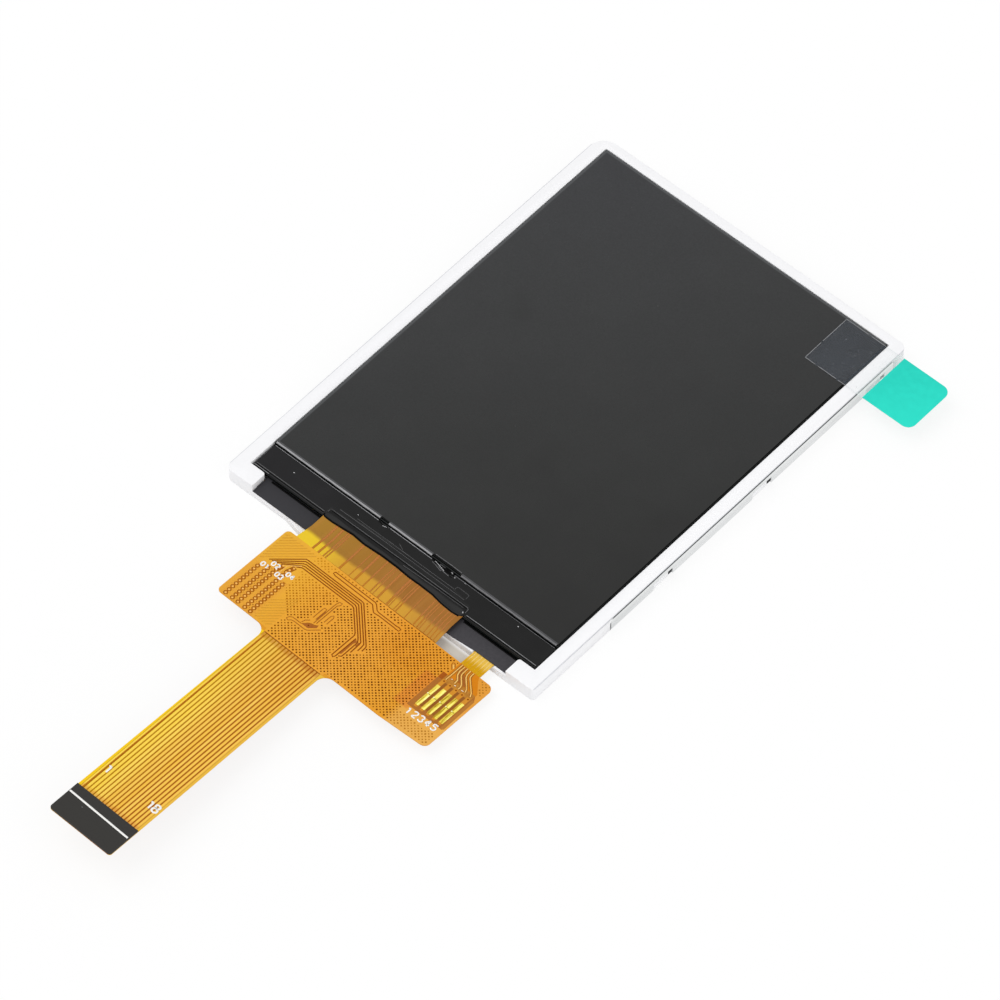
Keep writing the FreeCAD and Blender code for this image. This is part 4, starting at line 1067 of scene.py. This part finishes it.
def awayFrom(x, y, line):
    # shortest way from a point to a line of straight runs
    best = 1e9
    for (ax, ay), (bx, by) in zip(line, line[1:]):
        dx, dy = bx - ax, by - ay
        t = max(0.0, min(1.0, ((x - ax) * dx + (y - ay) * dy) / (dx * dx + dy * dy)))
        best = min(best, math.hypot(x - ax - t * dx, y - ay - t * dy))
    return best


def alongLine(line, x):
    for (ax, ay), (bx, by) in zip(line, line[1:]):
        if ax <= x <= bx:
            return ay + (by - ay) * (x - ax) / (bx - ax)
    return None


def clamped(value):
    return max(0.0, min(1.0, value))


def ease(t):
    t = clamped(t)
    return t * t * (3 - 2 * t)


def ledgeSealant():
    # a low sheet with round edges over the glass, which swells to a bead where it covers the circuit
    low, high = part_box("ledge_cover")
    left, right, front, back = low.x / mm, high.x / mm, low.y / mm, high.y / mm
    glass, level, foot = low.z / mm + ledge["gap"], ledge["level"], ledge["foot"]
    columns, rows = ledge["columns"], ledge["rows"]
    top, under = [], []
    for i in range(columns + 1):
        x = left + (right - left) * i / columns
        beadFront = alongLine(beadEdge, x)
        edge = front if beadFront is None else beadFront
        ends = clamped(min(x - left, right - x) / ledge["endFade"] + ledge["endShare"])
        inside = ease(min(x + bead["half"], bead["half"] - x) / bead["shoulder"])
        for j in range(rows + 1):
            y = edge + (back - edge) * (j / rows)
            nearEdge = clamped(min((y - edge) / ledge["frontRim"], (back - y) / ledge["backRim"]))
            rim = math.sqrt(1 - (1 - nearEdge) ** 2)
            z = glass + (level - glass) * rim * math.sqrt(ends)
            if beadFront is not None:
                hump = math.exp(-((y - bead["middle"]) / bead["spread"]) ** 2) * (bead["crest"] - level)
                raised = level + hump * inside
                z = max(z, foot + (raised - foot) * rim) if y < bead["back"] else max(z, raised)
            for height, reach, line in wrinkles:
                away = awayFrom(x, y, line)
                if away < 3 * reach:
                    z += height * math.exp(-(away / reach) ** 2) * rim
            (ax, ay), (bx, by) = wave["across"], wave["along"]
            z += wave["height"] * math.sin(x * ax + y * ay) * math.sin(y * bx + x * by) * rim
            bottom = foot - ledge["gap"] if beadFront is not None and y < bead["bottomBack"] else glass
            top.append((x * mm, y * mm, min(z, ledge["top"]) * mm))
            under.append((x * mm, y * mm, bottom * mm))
    return top, under, columns, rows


def closedSheet(name, top, under, columns, rows, finish):
    # a grid of upper and lower points made one closed mesh
    mesh = bpy.data.meshes.new(name)
    count, step = len(top), rows + 1
    faces = []
    for i in range(columns):
        for j in range(rows):
            a, b, c, d = i * step + j, (i + 1) * step + j, (i + 1) * step + j + 1, i * step + j + 1
            faces += [(a, b, c, d), (count + d, count + c, count + b, count + a)]
    border = ([i * step for i in range(columns + 1)] + [columns * step + j for j in range(1, rows + 1)]
              + [i * step + rows for i in range(columns - 1, -1, -1)] + [j for j in range(rows - 1, 0, -1)])
    for a, b in zip(border, border[1:] + border[:1]):
        faces.append((count + a, count + b, b, a))
    mesh.from_pydata(top + under, [], faces)
    smoothBut(mesh, 60)
    return addPiece(name, mesh, finish)


def sealantFinish():
    # glossy black, greyer to the left and blackest in the bead, a painted shade against the light its hump
    # catches
    shader, place = newMaterial("blackSealant", roughness=0.2, gloss=0.2)
    x, y = axesOf(place)[:2]
    # painted shade: the bead is darker against the light on its hump
    beadShadeShare = times(spanOf(y, -30.6, -30.8), spanOf(mathOf("ABSOLUTE", x), 11.5, 11.3))
    feed(shader, "Base Color", layersOf(mixOf(noiseOn(place, 250, 4), (9, 9, 9), (17, 17, 17)),
                                        (easeOf(x, -8, -14, 0.6), (24, 23, 26)), (beadShadeShare, (1, 1, 1))))
    uneven(shader, noiseOn(place, 420, 4), 0.14, 0.3)
    bumpFrom(shader, noiseOn(place, 260, 4, (0.6, 1.6, 1)), 0.2, 0.06)


sealantFinish()
settle(closedSheet("ledgeSealant", *ledgeSealant(), "blackSealant"), "gloss_black", "ledge_cover", "bond_seal")

# painted shine on the sealant's ridges and along its edges, and painted shade lines beside them and under its
# edges
plainFinish("ridgeShine", (58, 58, 59), (96, 96, 97), 0.3, 0.3, 500)
plainFinish("edgeShine", (96, 96, 97), (164, 164, 166), 0.3, 0.3, 700)
plainFinish("ridgeShade", (4, 4, 4), (10, 10, 10), 0.5, 0.05, 500)
shine = {  # finish, width, lift, corner and lines
    "ridgeFine": ("ridgeShine", 0.06, 0.004, 0.12, [
        [(-7.8, -29.6), (-2.0, -29.56), (7.9, -29.6)], [(-10.3, -29.98), (-4.0, -29.92), (9.9, -30.0)],
        [(7.95, -29.75), (8.0, -29.05), (9.9, -29.1), (9.95, -29.8)], [(-1.5, -29.0), (-0.6, -29.42)],
        [(1.0, -31.15), (6.0, -31.0), (10.6, -30.98)]]),
    "ridgeBroad": ("ridgeShine", 0.11, 0.004, 0.2, [
        [(-11.2, -31.2), (-11.18, -30.8), (-11.0, -30.66), (0, -30.6), (11.0, -30.62), (11.24, -30.72),
         (11.28, -31.4)], [(-22.7, -31.42), (-11.6, -31.4)]]),
    "ridgeBright": ("edgeShine", 0.08, 0.004, 0.1, [
        [(11.6, -31.5), (14.0, -31.46), (22.7, -31.46)], [(-22.8, -31.75), (-20.4, -31.75)]]),
    "ridgeShade": ("ridgeShade", 0.16, 0.003, 0.2, [
        [(-22.6, -31.6), (-11.6, -31.6)], [(11.7, -31.66), (22.6, -31.64)],
        [(-10.8, -30.84), (0, -30.78), (11.0, -30.82)]])}
for name, (finish, width, lift, corner, lines) in shine.items():
    linesOn(name, onSealant, lines, width, finish, lift=lift, corner=corner, step=0.3)
# painted shadow of the ledge on the tape, and painted shade along the bead's foot
linesOn("ledgeFoot", onTape, [[(-22.7, -32.05), (-11.5, -32.05)], [(11.6, -32.0), (22.7, -32.0)]], 0.3,
        "ridgeShade", step=1.0)
linesOn("beadFoot", shadeOnFlex, [[(x, y - 0.05) for x, y in beadEdge[1:-3]]], 0.2, "ridgeShade",
        thickness=0.03, lift=0.012, corner=0.3, step=0.2)
print("ledge sealant done")

# edge of the film over the panel: a turned-down lip, nicked at the left and torn out to the right
lip = {"section": [(-27.65, 2.414), (-27.76, 2.412), (-27.85, 2.388), (-27.91, 2.345)], "thickness": 0.012,
       "step": 0.35, "wander": [(0.012, 1.7, 0), (0.008, 4.1, 1)], "foot": -28.04, "haze": (-27.69, -27.48),
       "runs": [(-22.75, -5.7), (-4.3, 2.7), (7.4, 22.75)]}
# painted highlights on the film's cut edge, dimmer to the right and in the tear
plainFinish("filmEdge", (132, 132, 134), (164, 164, 166), 0.25, 0.3, 900)
plainFinish("filmEdgeDim", (84, 84, 86), (116, 116, 118), 0.25, 0.3, 900)
plainFinish("whiteScratch", (170, 170, 172), (235, 235, 236), 0.35, 0.3, 3000)
plainFinish("lipHaze", (60, 60, 62), (84, 84, 86), 0.3, 0.25, 700)


def lipSheet(name, left, right, finish):
    # the lip's bent section carried along the edge, wandering a little as cut film does
    columns, rows = round((right - left) / lip["step"]), len(lip["section"]) - 1
    top, under = [], []
    for i in range(columns + 1):
        x = left + (right - left) * i / columns
        drift = sum(reach * math.sin(x * often + start) for reach, often, start in lip["wander"])
        for y, z in reversed(lip["section"]):
            top.append((x * mm, (y + drift) * mm, z * mm))
            under.append((x * mm, (y + drift) * mm, (z - lip["thickness"]) * mm))
    settle(closedSheet(name, top, under, columns, rows, finish), "clear_film")


for name, finish, (left, right) in zip(("filmLip1", "filmLip2", "filmLipDim1"),
                                       ("filmEdge", "filmEdge", "filmEdgeDim"), lip["runs"]):
    lipSheet(name, left, right, finish)

tear = {
    "film": [[(2.9, -27.5), (3.6, -27.56), (5.2, -27.52), (7.1, -27.54), (7.3, -27.7), (2.75, -27.7)],
             [(-5.65, -27.56), (-4.4, -27.6), (-4.3, -27.7), (-5.7, -27.7)]],
    "edge": [[(3.0, -27.42), (5.4, -27.4), (7.2, -27.43)]],
    "blot": [[(2.9, -28.0), (5.6, -28.0), (6.0, -28.12), (6.15, -27.96), (6.75, -28.0), (6.7, -28.5),
              (6.3, -28.65), (6.0, -28.45), (4.6, -28.3), (3.4, -28.2)],
             [(-5.7, -28.0), (-4.3, -28.0), (-4.6, -28.3), (-5.4, -28.2)]],
    "scratches": [[(3.4, -28.02), (4.3, -28.2), (5.2, -28.42)], [(6.75, -28.2), (6.92, -28.38)],
                  [(6.0, -27.95), (6.3, -28.05)], [(-4.9, -28.34), (-4.3, -28.2)],
                  [(8.25, -28.1), (8.45, -28.14)]],
    "folds": [[(4.3, -28.36), (5.2, -28.55), (6.1, -28.62)], [(3.2, -28.3), (4.0, -28.46), (4.9, -28.7)],
              [(4.2, -27.96), (5.9, -27.94)]],
    "dust": [[(17.25, -28.6), (17.4, -28.58)], [(-18.3, -29.6), (-18.15, -29.62)],
             [(10.95, -31.45), (11.1, -31.6)], [(-8.2, -29.1), (-8.1, -29.12)]]}


def footRuns(*ends):
    return [[(left, lip["foot"]), (right, lip["foot"])] for left, right in ends]


low, high = lip["haze"]
patchesOn("filmTear", onFilm, tear["film"], "ridgeShade", thickness=0.012, lift=0.006)
# painted highlight band along the lip on the film's top
patchesOn("lipHaze", onFilm, [[(left, high), (right, high), (right, low), (left, low)]
                              for left, right in lip["runs"]], "lipHaze", lift=0.004, thickness=0.006)
linesOn("tearEdge", onFilm, tear["edge"], 0.08, "filmEdgeDim", corner=0.0, lift=0.006)
# painted highlight along the glass edge below the lip
linesOn("lipFoot", filmOnSealant, footRuns((-22.7, -5.8), (-4.2, 2.9)), 0.1, "filmEdge", lift=0.004, corner=0.0,
        step=0.8)
linesOn("lipFootDim", filmOnSealant, footRuns((6.6, 22.7)), 0.1, "filmEdgeDim", lift=0.004, corner=0.0,
        step=0.8)
patchesOn("tearBlot", onSealant, tear["blot"], "ridgeShade", lift=0.003, thickness=0.006)
linesOn("tearScratches", filmOnSealant, tear["scratches"], 0.07, "whiteScratch", lift=0.012, corner=0.1,
        step=0.1)
linesOn("tearFolds", filmOnSealant, tear["folds"], 0.08, "filmEdgeDim", lift=0.012, corner=0.1, step=0.2)
linesOn("dustSpecks", filmOnSealant, tear["dust"], 0.11, "whiteScratch", lift=0.006, corner=0.0, step=0.1)


def clearStripFinish():
    # clear tape: a thin pale haze that lets the screen and rim show, with specks of dust
    shader, place = newMaterial("clearStrip", roughness=0.18, gloss=0.3)
    x = axesOf(place)[0]
    speck = spanOf(noiseOn(place, 2600, 3, None, 0.6), 0.68, 0.76)
    film = mixOf(spanOf(x, 22.9, 23.3), (200, 218, 244), (228, 240, 238))
    feed(shader, "Base Color", mixOf(speck, film, (235, 236, 240)))
    haze = plus(spanOf(noiseOn(place, 200), 0.3, 0.7, 0.028, 0.042), times(speck, 0.3))
    feed(shader, "Alpha", plus(haze, times(spanOf(x, 24.95, 25.1), 0.15)))


clearStripFinish()
plainFinish("stripEdgePale", (226, 232, 234), (236, 241, 242), 0.3, 0.2, 500)
dress({"pull_tab_strip": "clearStrip"})
strip = {"near": 24.82, "far": 32.67, "end": 16.78}
stripSides = [[(left, strip[side]), (right, strip[side])] for left, right, side in [
    (16.8, 18.4, "near"), (18.9, 21.7, "near"), (22.1, 23.2, "near"), (16.8, 20.3, "far"), (20.8, 23.1, "far")]]
stripEnd = [[(strip["end"], near), (strip["end"], far)] for near, far in [(24.9, 27.8), (28.2, 32.6)]]
# painted highlights along the clear strip's cut edges over the screen
linesOn("stripEdges", onStrip, stripSides + stripEnd, 0.07, "filmEdge", corner=0.0, lift=0.004, step=1.0)
linesOn("stripEdgesPale", onStrip, [[(23.25, strip["near"]), (25.9, strip["near"])],
                                    [(23.2, strip["far"]), (25.9, strip["far"])]], 0.05, "stripEdgePale",
        corner=0.0, lift=0.004, step=1.0)

# dark boxes of painted shade in the gaps past the frame's hooks, in the windows of the shell's walls
clipGaps = {"depth": (24.79, 24.82), "low": 0.16, "high": 1.08,
            "runs": [(-9.93, -9.22), (8.27, 8.98), (29.52, 30.23)]}


def clipGapBoxes():
    mesh = bpy.data.meshes.new("clipGaps")
    corners, faces = [], []
    for side in (-1, 1):
        for near, far in clipGaps["runs"]:
            first = len(corners)
            corners += [(side * x * mm, y * mm, z * mm) for x in clipGaps["depth"] for y in (near, far)
                        for z in (clipGaps["low"], clipGaps["high"])]
            box = [(0, 1, 3, 2), (4, 6, 7, 5), (0, 4, 5, 1), (2, 3, 7, 6), (0, 2, 6, 4), (1, 5, 7, 3)]
            faces += [tuple(first + i for i in (face if side > 0 else face[::-1])) for face in box]
    mesh.from_pydata(corners, [], faces)
    return mesh


plainFinish("clipShade", (30, 31, 32), (44, 45, 46), 0.5, 0.05)
settle(addPiece("clipGaps", clipGapBoxes(), "clipShade"), "chip_black")
print("film and pull tab done")
